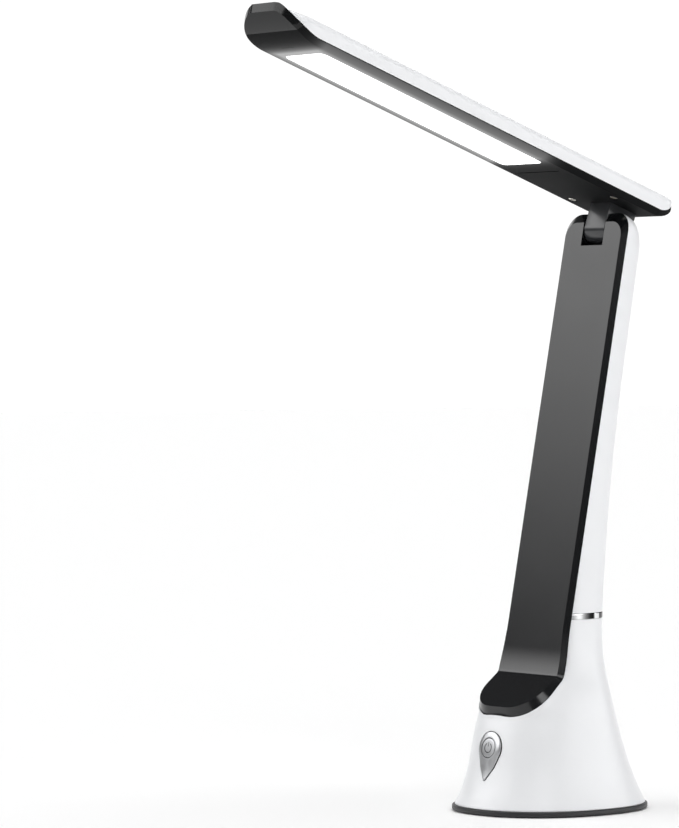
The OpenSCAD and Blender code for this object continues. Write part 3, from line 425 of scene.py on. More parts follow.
    def panel_stations(self, e0, e1, c0, c1):
        """Places along the panel: top corners, straight run, spread and sweep, bend and the foot's corners."""
        return (first_corner(e0, c0) + rising(self.spread_start, self.flare_start, 2 * CURL_STEPS)[:-1]
                + rising(self.flare_start, self.bend_end, CURL_STEPS) + last_corner(e1, c1))

    def panel_rows(self, grow, front, bevel, brow):
        """Rows of the panel's skin between its sunk rear face and a front face drawn in by the bevel.

        The front face may be drawn out along one line between the panel's and the foot's upright."""
        e0, e1 = -self.panel_top - grow, self.flare_end + grow
        c0, c1 = self.cheek_r - bevel, self.foot_corner - bevel
        back = self.panel_stations(e0, e1, self.cheek_r, self.foot_corner)
        face = self.panel_stations(e0 + brow, e1 - bevel, c0, c1)
        half = self.flare_angle / 2
        out = self.stem_frame.to_3x3() @ Vector((0, -math.cos(half), math.sin(half))) * front
        rows = []
        for b, f in zip(back, face):
            wb = outline_half(b, e0, e1, self.cheek_r, self.foot_corner, self.panel_half(b) + grow)
            wf = outline_half(f, e0 + brow, e1 - bevel, c0, c1, self.panel_half(f) + grow - bevel)
            d = -self.panel_depth(b) - grow
            rows.append([
                self.panel_point(-wb, b, d), self.panel_point(wb, b, d),
                self.panel_point(wf, f, 0) + out, self.panel_point(-wf, f, 0) + out])
        return rows

    # Head
    def head_point(self, x, s, off):
        """Point of the frame's skin at a place along it and a depth in it: straight between its two curls."""
        for start, r, way, _ in self.curls:
            a = (s - start) * way / r
            if a > 0:
                return Vector((
                    x, -(start + way * (r - off) * math.sin(a)), self.head_rise + r - (r - off) * math.cos(a)))
        return Vector((x, -s, self.head_rise + off))

    def rim_off(self, s):
        """Depth of the frame's rim, less where a curl comes near the head's top."""
        for start, r, way, top in self.curls:
            a = (s - start) * way / r
            if a > 0:
                return min(self.frame_t, r - (r - top) / math.cos(a))
        return self.frame_t

    def head_rows(self, e0, e1, off0, off1, c0, c1, w):
        """Place and half width of each row, for corners that are round seen from below."""
        a0 = -self.head_point(0, e0, off0).y
        a1 = -self.head_point(0, e1, off1).y
        d0 = (-self.tail_start + self.tail_r
              * math.asin((a0 + c0 + self.tail_start) / (self.tail_r - off0))) - e0
        d1 = e1 - (self.curl_start + self.curl_r
                   * math.asin((a1 - c1 - self.curl_start) / (self.curl_r - off1)))
        rows = []
        for s in stations(e0, e1, d0, d1, -self.tail_start, self.curl_start):
            a = -self.head_point(0, s, off0 if s < 0 else off1).y
            rows.append((s, outline_half(a, a0, a1, c0, c1, w)))
        return rows

    def seam_rise(self, p):
        """Height of the frame's upright rim above a point of its bevel, less where the cover is low."""
        return clamp((self.head_top - p.z - self.top_edge_t) / 8, 0, self.seam_h)

    def frame_rows(self):
        """Cross-sections of the black frame: its flat face, its bevels and its upright rim."""
        rows = []
        for (rs, rw), (fs, fw) in zip(self.rim_rows, self.face_rows):
            left, right = (self.head_point(x, rs, self.rim_off(rs)) for x in (-rw, rw))
            up = Vector((0, 0, self.seam_rise(right)))
            rows.append(placed(self.head_frame, [
                self.head_point(-fw, fs, 0), self.head_point(fw, fs, 0), right, right + up, left + up, left]))
        return rows

    def cover_rows(self):
        """Cross-sections of the white cover from the frame's rim up to the flat top."""
        rows = []
        for s, w in self.rim_rows:
            p = self.head_point(0, s, self.rim_off(s))
            rise = self.head_top - p.z
            if rise <= self.top_edge_t:
                continue
            r = min(self.cover_edge, rise * 3 / 4)
            arc = [(w - r + r * math.cos(a), self.head_top - r + r * math.sin(a)) for a in quarter(8)]
            foot = p.z + self.seam_rise(p)
            outline = [(-w, foot), (w, foot)] + arc + [(-x, z) for x, z in reversed(arc)]
            rows.append(placed(self.head_frame, [(x, p.y, z) for x, z in outline]))
        return rows


# ---------------------------------------------------------------- mesh tools

def object_of(name, verts, faces):
    """Links a new mesh object made of points and faces."""
    mesh = bpy.data.meshes.new(name)
    mesh.from_pydata([tuple(v) for v in verts], [], faces)
    mesh.update()
    piece = bpy.data.objects.new(name, mesh)
    bpy.context.scene.collection.objects.link(piece)
    return piece


def loft(name, rows, closed=False):
    """Skin through rows of points with its faces outward, capped at both ends, or closed in a loop."""
    n, m = len(rows[0]), len(rows)
    faces = [] if closed else [tuple(reversed(range(n))), tuple((m - 1) * n + j for j in range(n))]
    faces = [(i * n + j, i * n + (j + 1) % n, (i + 1) % m * n + (j + 1) % n, (i + 1) % m * n + j)
             for i in range(m if closed else m - 1) for j in range(n)] + faces
    return outward(object_of(name, [p for row in rows for p in row], faces))


def outward(piece):
    """Merges doubles and turns the faces of a closed mesh outward."""
    bm = bmesh.new()
    bm.from_mesh(piece.data)
    bmesh.ops.remove_doubles(bm, verts=bm.verts, dist=TINY)
    bmesh.ops.dissolve_degenerate(bm, edges=bm.edges, dist=TINY)
    bmesh.ops.recalc_face_normals(bm, faces=bm.faces)
    if bm.calc_volume(signed=True) < 0:
        bmesh.ops.reverse_faces(bm, faces=bm.faces)
    bm.to_mesh(piece.data)
    bm.free()
    return piece


def prism(name, outline, low, high, place=None):
    """Closed prism on a flat outline, between two heights of a frame."""
    place = place or Matrix.Identity(4)
    return loft(name, [placed(place, [(x, y, z) for x, y in outline]) for z in (low, high)])


def box(name, low, high, place=None):
    """Closed box between two corners of a frame."""
    outline = [(low[0], low[1]), (high[0], low[1]), (high[0], high[1]), (low[0], high[1])]
    return prism(name, outline, low[2], high[2], place)


def turned(name, profile, place, steps=64):
    """Solid turned round the z line of a frame from a profile of radius and height."""
    angles = [2 * math.pi * i / steps for i in range(steps)]
    return loft(name, [placed(place, [(r * math.cos(a), r * math.sin(a), z) for a in angles]) for r, z in profile])


def bore(place, radius, half):
    """Cutter for the pin's bore, across a frame at the hinge."""
    return turned("bore", [(radius, -half), (radius, half)], place @ Matrix.Rotation(math.pi / 2, 4, "Y"))


def slab_outline(w, h, r, steps=12):
    """Outline of a rectangle with rounded corners."""
    points = []
    for cx, cy, start in ((1, 1, 0), (-1, 1, 1), (-1, -1, 2), (1, -1, 3)):
        for i in range(steps + 1):
            a = (start + i / steps) * math.pi / 2
            points.append((cx * (w / 2 - r) + r * math.cos(a), cy * (h / 2 - r) + r * math.sin(a)))
    return points


def evaluated(piece):
    """Bakes a piece's modifiers into its mesh and removes them."""
    bpy.context.view_layer.update()
    graph = bpy.context.evaluated_depsgraph_get()
    mesh = bpy.data.meshes.new_from_object(piece.evaluated_get(graph), depsgraph=graph)
    piece.modifiers.clear()
    old, piece.data = piece.data, mesh
    mesh.name = piece.name
    bpy.data.meshes.remove(old)
    return piece


def join_solids(piece, other, operation):
    """Boolean of two closed solids, applied; the second one is removed."""
    step = piece.modifiers.new("solid", "BOOLEAN")
    step.operation = operation
    step.object = other
    step.solver = "MANIFOLD"
    evaluated(piece)
    bpy.data.objects.remove(other)
    if not piece.data.polygons:
        raise RuntimeError(f"{piece.name}: nothing left after {operation.lower()}")


def cut(piece, *others):
    """Takes solids out of a piece."""
    for other in others:
        join_solids(piece, other, "DIFFERENCE")
    return piece


def shade(mesh, crease):
    """Smooth faces, with edges that turn more than a number of degrees left sharp."""
    mesh.shade_smooth()
    mesh.set_sharp_from_angle(angle=math.radians(crease))


def finish(piece, body, nodes, slot, *names, crease=28):
    """Shades a piece, gives it its finishes, and lets it stand for its CAD nodes."""
    mesh = piece.data
    shade(mesh, crease)
    if names:
        mesh.materials.clear()
        mesh.polygons.foreach_set("material_index", [0] * len(mesh.polygons))
    for name in names:
        mesh.materials.append(bpy.data.materials[name])
    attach(piece, body)
    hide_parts(*nodes)


# ---------------------------------------------------------------- nodes

MATH, VECTOR_MATH = "ShaderNodeMath", "ShaderNodeVectorMath"
RANGE, NOISE, BUMP = "ShaderNodeMapRange", "ShaderNodeTexNoise", "ShaderNodeBump"
# Nearly all of a noise texture lies between these
NOISE_SPAN = (0.3, 0.7)


def feed(tree, node, inputs):
    """Gives inputs of a node a value, a socket's output, or the first output of another node."""
    for key, source in inputs.items():
        if isinstance(source, bpy.types.Node):
            source = source.outputs[0]
        if isinstance(source, bpy.types.NodeSocket):
            tree.links.new(source, node.inputs[key])
        else:
            node.inputs[key].default_value = source


def add(tree, kind, *first, links=None, **settings):
    """Adds a node with its settings, and links or sets its first inputs in order and others by their key."""
    node = tree.nodes.new(kind)
    for key, value in settings.items():
        setattr(node, key, value)
    feed(tree, node, {**dict(enumerate(first)), **(links or {})})
    return node


def tree_with(name, inputs):
    """New geometry tree with inputs, each a name, socket type and default, and the sockets that give them."""
    tree = bpy.data.node_groups.new(name, "GeometryNodeTree")
    tree.interface.new_socket("Geometry", in_out="INPUT", socket_type="NodeSocketGeometry")
    for label, kind, value in inputs:
        item = tree.interface.new_socket(label, in_out="INPUT", socket_type="NodeSocket" + kind)
        if value is not None:
            item.default_value = value
    tree.interface.new_socket("Geometry", in_out="OUTPUT", socket_type="NodeSocketGeometry")
    return tree, add(tree, "NodeGroupInput").outputs


def close_tree(tree, geometry, material):
    """Ends a tree in Realize Instances and Set Material."""
    real = add(tree, "GeometryNodeRealizeInstances", geometry)
    done = add(tree, "GeometryNodeSetMaterial", links={"Geometry": real, "Material": material})
    add(tree, "NodeGroupOutput", done)
    return tree


def grown(name, tree, values, seed=None):
    """Piece made by a geometry tree, as a plain mesh. Values go to inputs by their socket's identifier."""
    piece = seed or object_of(name, [(0, 0, 0)], [])
    step = piece.modifiers.new("grow", "NODES")
    step.node_group = tree
    for item in tree.interface.items_tree:
        if item.item_type == "SOCKET" and item.in_out == "INPUT" and values.get(item.name) is not None:
            step[item.identifier] = values[item.name]
    return evaluated(piece)


def signed_power(tree, value, power):
    """Sign of a value times its absolute value raised to a power."""
    raised = add(tree, MATH, add(tree, MATH, value, operation="ABSOLUTE"), power, operation="POWER")
    return add(tree, MATH, add(tree, MATH, value, operation="SIGN"), raised, operation="MULTIPLY")


def housing_tree():
    """Tree that lofts superellipse rings through a list of stations: the rule of the white housings."""
    tree, given = tree_with("ring_loft", [
        ("Stations", "Object", None), ("Around", "Int", 144), ("Power", "Float", 2.2), ("Material", "Material", None)])
    rows = add(tree, "GeometryNodeObjectInfo", given["Stations"], transform_space="ORIGINAL").outputs["Geometry"]
    count = add(tree, "GeometryNodeAttributeDomainSize", rows, component="MESH").outputs["Point Count"]
    last = add(tree, MATH, count, 1.0, operation="SUBTRACT")
    tube = add(tree, "GeometryNodeMeshCylinder", fill_type="NGON", links={
        "Vertices": given["Around"], "Side Segments": last, "Radius": 1.0, "Depth": last})
    spot = add(tree, "ShaderNodeSeparateXYZ", add(tree, "GeometryNodeInputPosition"))
    half = add(tree, MATH, last, 2.0, operation="DIVIDE")
    level = add(tree, MATH, add(tree, MATH, spot.outputs[2], half, operation="ADD"), operation="ROUND")

    def at_level(name):
        value = add(tree, "GeometryNodeInputNamedAttribute", name, data_type="FLOAT")
        return add(tree, "GeometryNodeSampleIndex", rows, value, level, data_type="FLOAT", domain="POINT")

    power = add(tree, MATH, 2.0, given["Power"], operation="DIVIDE")
    across, along = (signed_power(tree, spot.outputs[i], power) for i in (0, 1))
    rear = add(tree, MATH, spot.outputs[1], 0.0, operation="GREATER_THAN")
    depth = add(tree, "ShaderNodeMix", data_type="FLOAT", links={0: rear, 2: at_level("front"), 3: at_level("back")})
    x = add(tree, MATH, across, at_level("wide"), operation="MULTIPLY")
    y = add(tree, MATH, along, depth, at_level("spine"), operation="MULTIPLY_ADD")
    place = add(tree, "ShaderNodeCombineXYZ", x, y, at_level("height"))
    moved = add(tree, "GeometryNodeSetPosition", links={"Geometry": tube, "Position": place})
    return close_tree(tree, moved, given["Material"])


def ring_loft(name, lamp, rows):
    """Closed housing form through stations of height, half width, front, back and spine."""
    guide = object_of(name + "_stations", [(0, 0, 0)] * len(rows), [])
    for label, values in zip(("height", "wide", "front", "back", "spine"), zip(*rows)):
        layer = guide.data.attributes.new(label, "FLOAT", "POINT")
        layer.data.foreach_set("value", values)
    tree = bpy.data.node_groups.get("ring_loft") or housing_tree()
    piece = grown(name, tree, {
        "Stations": guide, "Around": lamp.around, "Power": lamp.plan_power,
        "Material": bpy.data.materials["White_ABS"]})
    bpy.data.objects.remove(guide)
    return outward(piece)


def sweep_tree():
    """Tree that sweeps a rounded rectangle round a superellipse: the rule of the trim ring."""
    tree, given = tree_with("oval_sweep", [
        ("Half length", "Float", 0.05), ("Half width", "Float", 0.04), ("Power", "Float", 2.2),
        ("Rail width", "Float", 0.004), ("Rail height", "Float", 0.0026), ("Edge radius", "Float", 0.0005),
        ("Height", "Float", 0.0017), ("Around", "Int", 256), ("Material", "Material", None)])
    circle = add(tree, "GeometryNodeCurvePrimitiveCircle", mode="RADIUS", links={
        "Resolution": given["Around"], "Radius": 1.0})
    spot = add(tree, "ShaderNodeSeparateXYZ", add(tree, "GeometryNodeInputPosition"))
    power = add(tree, MATH, 2.0, given["Power"], operation="DIVIDE")
    inset = add(tree, MATH, given["Rail width"], 2.0, operation="DIVIDE")
    axes = []
    for i, label in enumerate(("Half width", "Half length")):
        size = add(tree, MATH, given[label], inset, operation="SUBTRACT")
        axes.append(add(tree, MATH, signed_power(tree, spot.outputs[i], power), size, operation="MULTIPLY"))
    place = add(tree, "ShaderNodeCombineXYZ", *axes, given["Height"])
    path = add(tree, "GeometryNodeSetPosition", links={"Geometry": circle, "Position": place})
    path = add(tree, "GeometryNodeSetCurveNormal", mode="Z_UP", links={"Curve": path})
    rail = add(tree, "GeometryNodeCurvePrimitiveQuadrilateral", mode="RECTANGLE", links={
        "Width": given["Rail width"], "Height": given["Rail height"]})
    rail = add(tree, "GeometryNodeFilletCurve", mode="POLY", links={
        "Curve": rail, "Count": 5, "Radius": given["Edge radius"]})
    swept = add(tree, "GeometryNodeCurveToMesh", links={"Curve": path, "Profile Curve": rail})
    return close_tree(tree, swept, given["Material"])


def screw_tree():
    """Tree that sets a screw at every point of a guide, turned one way."""
    tree, given = tree_with("screw_places", [
        ("Screw", "Object", None), ("Turn", "Rotation", None), ("Material", "Material", None)])
    screw = add(tree, "GeometryNodeObjectInfo", transform_space="ORIGINAL", links={
        "Object": given["Screw"], "As Instance": True}).outputs["Geometry"]
    screws = add(tree, "GeometryNodeInstanceOnPoints", links={
        "Points": given["Geometry"], "Instance": screw, "Rotation": given["Turn"]})
    return close_tree(tree, screws, given["Material"])


# ---------------------------------------------------------------- finishes

def surface(name):
    """New material with its tree, its shader and the place on the piece."""
    material = bpy.data.materials.new(name)
    material.use_nodes = True
    tree = material.node_tree
    return material, tree, tree.nodes["Principled BSDF"], add(tree, "ShaderNodeTexCoord").outputs["Object"]


def moulded(name, base, rough, ior, grain, relief, gloss_spread=0.03, gloss_level=0.5):
    """Moulded plastic: one colour, a fine grain in millimetres and a slow change of gloss."""
    material, tree, shader, place = surface(name)
    cloud = 35 * MM
    fine = add(tree, NOISE, links={"Vector": place, "Scale": 1 / (grain * MM), "Detail": 3.0})
    slow = add(tree, NOISE, links={"Vector": place, "Scale": 1 / cloud, "Detail": 1.0})
    feed(tree, shader, {
        "Base Color": base, "IOR": ior, "Specular IOR Level": gloss_level,
        "Normal": add(tree, BUMP, links={"Strength": 0.3, "Distance": relief * MM, "Height": fine}),
        "Roughness": add(tree, RANGE, slow, *NOISE_SPAN, rough - gloss_spread, rough + gloss_spread)})
    return material


def painted_window_glow(material, lamp):
    """Painted glow of the window: emission on the frame round it that fades with the distance, in the head's frame."""
    reach, strength, forward, ends = 6 * MM, 0.45, 5 * MM, 2 * MM
    # Fades twice as fast along the head as across it
    rates = (1, 2, 1)
    tree = material.node_tree
    middle = lamp.head_frame @ Vector((0, -lamp.window_mid - forward, lamp.head_rise))
    spot = add(tree, "ShaderNodeMapping", vector_type="TEXTURE", links={
        "Vector": add(tree, "ShaderNodeTexCoord").outputs["Object"],
        "Location": middle, "Rotation": (-lamp.head_tilt, 0, 0)})
    past = add(tree, VECTOR_MATH, spot, operation="ABSOLUTE")
    half = (lamp.window_w / 2, lamp.window_len / 2 - ends, 0)
    for operation, value in (("SUBTRACT", half), ("MAXIMUM", (0, 0, 0)), ("MULTIPLY", rates)):
        past = add(tree, VECTOR_MATH, past, value, operation=operation)
    away = add(tree, VECTOR_MATH, past, operation="LENGTH").outputs["Value"]
    fade = add(tree, MATH, add(tree, MATH, away, -reach, operation="DIVIDE"), operation="EXPONENT")
    feed(tree, tree.nodes["Principled BSDF"], {
        "Emission Color": (1, 1, 1, 1),
        "Emission Strength": add(tree, MATH, fade, strength, operation="MULTIPLY")})


def metal(name, base, rough, grain, stretch, relief):
    """Metal: a base tint and fine lines or grit left by its making, in millimetres."""
    material, tree, shader, place = surface(name)
    lines = add(tree, "ShaderNodeMapping", links={"Vector": place, "Scale": stretch})
    fine = add(tree, NOISE, links={"Vector": lines, "Scale": 1 / (grain * MM), "Detail": 2.0})
    feed(tree, shader, {
        "Base Color": base, "Metallic": 1.0,
        "Roughness": add(tree, RANGE, fine, *NOISE_SPAN, rough * 0.9, rough * 1.1),
        "Normal": add(tree, BUMP, links={"Strength": 0.2, "Distance": relief * MM, "Height": fine})})
    return material


def painted_reflection_bars(material, base):
    """Painted reflection: upright light and dark bars in the base colour of a polished band, alike on its left and
    right, by the bearing round the stem.
    """
    tree = material.node_tree
    side = add(tree, "ShaderNodeSeparateXYZ", add(tree, "ShaderNodeTexCoord").outputs["Object"])
    across = add(tree, MATH, side, operation="ABSOLUTE")
    bearing = add(tree, MATH, side.outputs[1], across, operation="ARCTAN2")
    ramp = add(tree, "ShaderNodeValToRGB", add(tree, RANGE, bearing, -math.pi / 2, math.pi / 2, 0.0, 1.0))
    stops = ramp.color_ramp.elements
    for k, (degrees, bright) in enumerate(PAINTED_REFLECTION_BARS):
        spot = stops[k] if k < 2 else stops.new(1)
        spot.position = degrees / 180 + 0.5
        spot.color = [bright * part for part in base[:3]] + [1]
    feed(tree, tree.nodes["Principled BSDF"], {"Base Color": ramp})


def opal(name, base, glow):
    """Opal acrylic lit from behind: an even glow with a faint cloud in it."""
    tree, shader, place = surface(name)[1:]
    cloud = add(tree, NOISE, links={"Vector": place, "Scale": 1 / (12 * MM), "Detail": 2.0})
    feed(tree, shader, {
        "Base Color": base, "IOR": 1.49, "Roughness": 0.35, "Emission Color": base,
        "Emission Strength": add(tree, RANGE, cloud, *NOISE_SPAN, glow * 0.96, glow * 1.04)})


def printed_board(name, mask, copper):
    """Printed circuit board: solder mask with tracks that show through it."""
    tree, shader, place = surface(name)[1:]
    tracks = add(tree, "ShaderNodeTexBrick", links={
        "Vector": place, "Scale": 1.0, "Color1": mask, "Color2": mask, "Mortar": copper,
        "Brick Width": 3.1 * MM, "Row Height": 2.2 * MM, "Mortar Size": 0.14 * MM})
    feed(tree, shader, {"Base Color": tracks, "Roughness": 0.35, "IOR": 1.52})


# ---------------------------------------------------------------- pieces

class LAMP_OT_finishes(bpy.types.Operator):
    """Finishes of every piece, each made once and named for the real material"""

    bl_idname = "lamp.finishes"
    bl_label = "Finishes"

    def execute(self, context):
        colours = context.scene.lamp_colours
        # Gloss-moulded ABS: clean white with soft, wide highlights and a faint orange peel
        moulded("White_ABS", colours.white, 0.34, 1.54, 1.6, 0.02)
        # Satin-polished black ABS: mirrors the lights softly; also painted shade on the switch surround's outer edge
        moulded("Black_ABS_satin", colours.panel, 0.16, 1.52, 0.9, 0.008, 0.015)
        # Soft-touch lacquer on the head's frame: dull and dark at every angle, with a painted glow of the window close
        # to it
        painted_window_glow(moulded("Soft_touch_lacquer", colours.frame, 0.7, 1.5, 0.5, 0.01, gloss_level=0.08), lamp_of(context))
        # Polished black ABS at the curled tip of the head: mirrors the studio and the floor
        moulded("Black_ABS_polished", colours.frame, 0.14, 1.52, 0.9, 0.006, 0.01, 0.28)
        # Satin black ABS of the neck: wide, soft reflections
        moulded("Black_ABS_neck", colours.neck, 0.2, 1.52, 1.4, 0.006, 0.01)
        # Lacquered ABS: dull grey highlight along its edge
        moulded("Grey_ABS_lacquered", colours.ring, 0.42, 1.5, 0.5, 0.02)
        # Spark-eroded black ABS under the base: matt
        moulded("Black_ABS_matt", linear("#2A2B2D"), 0.6, 1.5, 0.6, 0.04)
        # Nitrile rubber: dead matt and dark; also painted shade on the head frame's upright rim
        moulded("Nitrile_rubber", colours.rubber, 0.78, 1.52, 0.4, 0.05, gloss_level=0.1)
        # Enamel in the engraved sign: dark grey, half gloss
        moulded("Grey_enamel", linear("#26272A"), 0.35, 1.5, 0.8, 0.005)
        # PVC sleeve of a cell, shrunk on: smooth blue
        moulded("PVC_sleeve", linear("#2F63A6"), 0.33, 1.53, 2.5, 0.02)
        # Glass-filled nylon of small inner parts: matt, with a dry grain
        moulded("Nylon_black", linear("#1F2022"), 0.5, 1.53, 0.4, 0.03)
        moulded("Nylon_white", linear("#E4E1D8"), 0.45, 1.53, 0.4, 0.03)
        # Vacuum-plated chrome: near mirror, with painted reflection bars in its colour
        painted_reflection_bars(metal("Chrome_plating", colours.chrome, 0.07, 2.0, (1, 1, 1), 0.002), colours.chrome)
        # Satin chrome, brushed before plating: soft reflections drawn out upwards
        metal("Satin_chrome", colours.satin, 0.31, 0.5, (1, 1, 0.08), 0.0008)
        # Nickel-plated steel: bright and slightly warm
        metal("Nickel_plated_steel", linear("#E2DFD8"), 0.34, 0.6, (1, 1, 1), 0.004)
        # Zinc-plated steel sheet: grey with a fine spangle
        metal("Zinc_plated_steel", linear("#A9ADB0"), 0.38, 1.2, (1, 1, 1), 0.006)
        # Rolled steel of the weight: dark, with rolling lines
        metal("Rolled_steel", linear("#6E7072"), 0.45, 0.8, (1, 0.1, 1), 0.01)
        # Glass-fibre board: tracks show through its solder mask
        printed_board("Solder_mask_green", linear("#1D5B33"), linear("#3B7D49"))
        printed_board("Solder_mask_white", linear("#E6E6E2"), linear("#CFCBB8"))
        # Opal acrylic, lit from behind: even and white
        opal("Opal_acrylic", colours.light, 1.3)
        # Phosphor of the lights: warm and much brighter
        opal("LED_phosphor", linear("#FFF3C4"), 6.0)
        return {"FINISHED"}


def lamp_of(context):
    return Lamp(context.scene.lamp_sizes)


def pocket(lamp):
    """The recess that takes the front panel."""
    return loft("pocket", lamp.panel_rows(FIT, lamp.pivot.y, 0, 0))


def slot_box(lamp, grow):
    """The slot between the cheeks, grown by its wall."""
    reach = lamp.crown_r + lamp.cheek_r
    low = (-lamp.slot_w / 2 - grow, -reach, -lamp.slot_floor - grow)
    return box("slot", low, (lamp.slot_w / 2 + grow, reach, reach), lamp.stem_frame)


def stem_levels(lamp, low, inset):
    """Heights of the stem's rings, closer together in the dome."""
    start = lamp.top_z - lamp.crown_r
    dome = lamp.crown_r - max(inset, FIT)
    return rising(low, start, STEM_RINGS)[:-1] + [start + dome * math.sin(a) for a in quarter(DOME_RINGS)]


def sunk_screw(lamp, place):
    """Sink of a screw's head in a frame that stands on the face."""
    r = lamp.screw_head_d / 2 + FIT
    return turned("sink", [(r, -OVER), (r, lamp.screw_head_t)], place)


class LAMP_OT_housing(bpy.types.Operator):
    """White flared housing of the base, with the panel's recess and the openings for button and inlet"""

    bl_idname = "lamp.housing"
    bl_label = "Lower housing"

    def execute(self, context):
        lamp = lamp_of(context)
        proud, edge = lamp.band_proud, 0.4 * MM
        foot = [lamp.station(lamp.shell_z + along, proud + inset) for along, inset in edge_round(edge)]
        top = [lamp.station(lamp.base_h - inset, proud + along) for along, inset in edge_round(edge)]
        levels = rising(lamp.shell_z + edge, lamp.base_h - edge, SKIN_RINGS)[1:-1]
        piece = ring_loft("lower_housing", lamp, foot + [lamp.station(z, proud) for z in levels] + top)
        inner = rising(lamp.shell_z - OVER, lamp.base_h + OVER, HOLLOW_RINGS)
        cut(piece, ring_loft("hollow", lamp, [lamp.station(z, lamp.shell_t) for z in inner]), pocket(lamp))
        skin = ring_loft("skin", lamp, [
            lamp.station(z, lamp.bezel_sink + FIT) for z in rising(0, lamp.base_h, SKIN_RINGS)])
        cut(piece, cut(teardrop_block(lamp, FIT), skin))
        depth = lamp.shell_t * 2
        well = lamp.button_d / 2 + lamp.button_gap
        cut(piece, turned("well", [(well, -depth), (well, depth)], lamp.button_frame))
        wall = Vector((0, lamp.spine_y(lamp.socket_mid) + lamp.back_half(lamp.socket_mid), lamp.socket_mid))
        out = Matrix.Translation(wall) @ Matrix.Rotation(math.pi / 2, 4, "X")
        hole = slab_outline(lamp.socket_w + 2 * FIT, lamp.socket_h + 2 * FIT, lamp.socket_h / 2)
        cut(piece, prism("inlet", hole, -depth, depth, out))
        finish(piece, "stand", ["base_shell"], "white_plastic", "White_ABS")
        return {"FINISHED"}


def teardrop(lamp, grow, count=200):
    """Outline of the switch surround, evenly spaced: round at the button, drawn out to a narrow tip below."""
    drop = lamp.bezel_len - lamp.bezel_w / 2 - lamp.bezel_tip
    # Its outline is drawn tight round three circles: at the button, at its flank and at its tip
    circles = ((0, lamp.bezel_w / 2), (-drop * 0.45, lamp.bezel_w / 2 * 0.69), (-drop, lamp.bezel_tip))
    dots = [Vector(((r + grow) * math.cos(a), y + (r + grow) * math.sin(a)))
            for y, r in circles for a in (2 * math.pi * i / count for i in range(count))]
    hull = [dots[i] for i in convex_hull_2d(dots)]
    sides = [(b - a).length for a, b in zip(hull, hull[1:] + hull[:1])]
    points, i, done = [], 0, 0.0
    for k in range(count):
        want = sum(sides) * k / count
        while done + sides[i] < want:
            done += sides[i]
            i += 1
        spot = hull[i].lerp(hull[(i + 1) % len(hull)], (want - done) / sides[i])
        points.append((spot.x, spot.y))
    return points


def teardrop_block(lamp, grow):
    """Solid on the surround's outline, through the housing's wall."""
    depth = lamp.shell_t * 3 / 2
    return prism("teardrop", teardrop(lamp, grow), -depth, depth, lamp.button_frame)


class LAMP_OT_trims(bpy.types.Operator):
    """Dark trim ring under the housing, rubber foot and bright band round the stem"""

    bl_idname = "lamp.trims"
    bl_label = "Trim ring, foot and band"

    def execute(self, context):
        lamp = lamp_of(context)
        tree = sweep_tree()
        ring = grown("trim_ring", tree, {
            "Half length": lamp.base_len / 2, "Half width": lamp.base_w / 2, "Power": lamp.plan_power,
            "Rail width": lamp.ring_flange, "Rail height": lamp.ring_h, "Edge radius": lamp.ring_h / 4,
            "Height": lamp.pad_h + lamp.ring_h / 2, "Around": 256,
            "Material": bpy.data.materials["Grey_ABS_lacquered"]})
        finish(outward(ring), "stand", ["base_ring"], "dark_ring")
        low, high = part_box("foot_pad")
        soft, less = 0.25 * MM, 0.07 * MM
        rows = [(z, high.x - inset, high.y - inset, high.y - inset, 0.0)
                for z, inset in ((high.z, 0), (low.z + soft, 0), (low.z + less, less), (low.z, soft))]
        finish(ring_loft("rubber_foot", lamp, rows), "stand", ["foot_pad"], "rubber_foot", "Nitrile_rubber")
        edge = 0.5 * MM
        levels = [(lamp.base_h + along, inset / 2) for along, inset in edge_round(edge)]
        levels += [(lamp.base_h + lamp.stem_z - z, inset) for z, inset in reversed(levels)]
        band = ring_loft("bright_band", lamp, [lamp.station(z, inset) for z, inset in levels])
        inner = [lamp.station(z, lamp.shell_t) for z in rising(lamp.base_h - OVER, lamp.stem_z + OVER, 4)]
        cut(band, ring_loft("hollow", lamp, inner), pocket(lamp))
        finish(band, "stand", ["band"], "chrome_trim", "Chrome_plating")
        return {"FINISHED"}


class LAMP_OT_stem(bpy.types.Operator):
    """White stem with its two cheeks, and the dark trough that lines the hinge's slot"""

    bl_idname = "lamp.stem"
    bl_label = "Stem and slot liner"

    def execute(self, context):
        lamp = lamp_of(context)
        proud = lamp.band_proud
        skin = [lamp.station(z, proud) for z in stem_levels(lamp, lamp.stem_z, proud)]
        hollow = [lamp.station(z, lamp.shell_t) for z in stem_levels(lamp, lamp.stem_z - OVER, lamp.shell_t)]
        piece = ring_loft("stem_housing", lamp, skin)
        cut(piece, ring_loft("hollow", lamp, hollow), pocket(lamp), slot_box(lamp, lamp.slot_wall + FIT))
        finish(piece, "stand", ["stem_shell"], "white_plastic", "White_ABS")
        liner = ring_loft("slot_trough", lamp, skin)
        join_solids(liner, slot_box(lamp, lamp.slot_wall), "INTERSECT")
        cut(liner, pocket(lamp), slot_box(lamp, 0), bore(lamp.stem_frame, lamp.pin_d / 2 + FIT, lamp.half_w))
        finish(liner, "stand", ["slot_liner"], "black_panel", "Black_ABS_satin")
        return {"FINISHED"}


class LAMP_OT_front_panel(bpy.types.Operator):
    """Dark front panel with its bevelled rim, curled forward into the foot"""

    bl_idname = "lamp.front_panel"
    bl_label = "Front panel"

    def execute(self, context):
        lamp = lamp_of(context)
        piece = loft("bevelled_panel", lamp.panel_rows(0, 0, lamp.panel_t, lamp.brow_len))
        cut(piece, slot_box(lamp, 0))
        finish(piece, "stand", ["front_panel"], "black_panel", "Black_ABS_satin", crease=20)
        return {"FINISHED"}


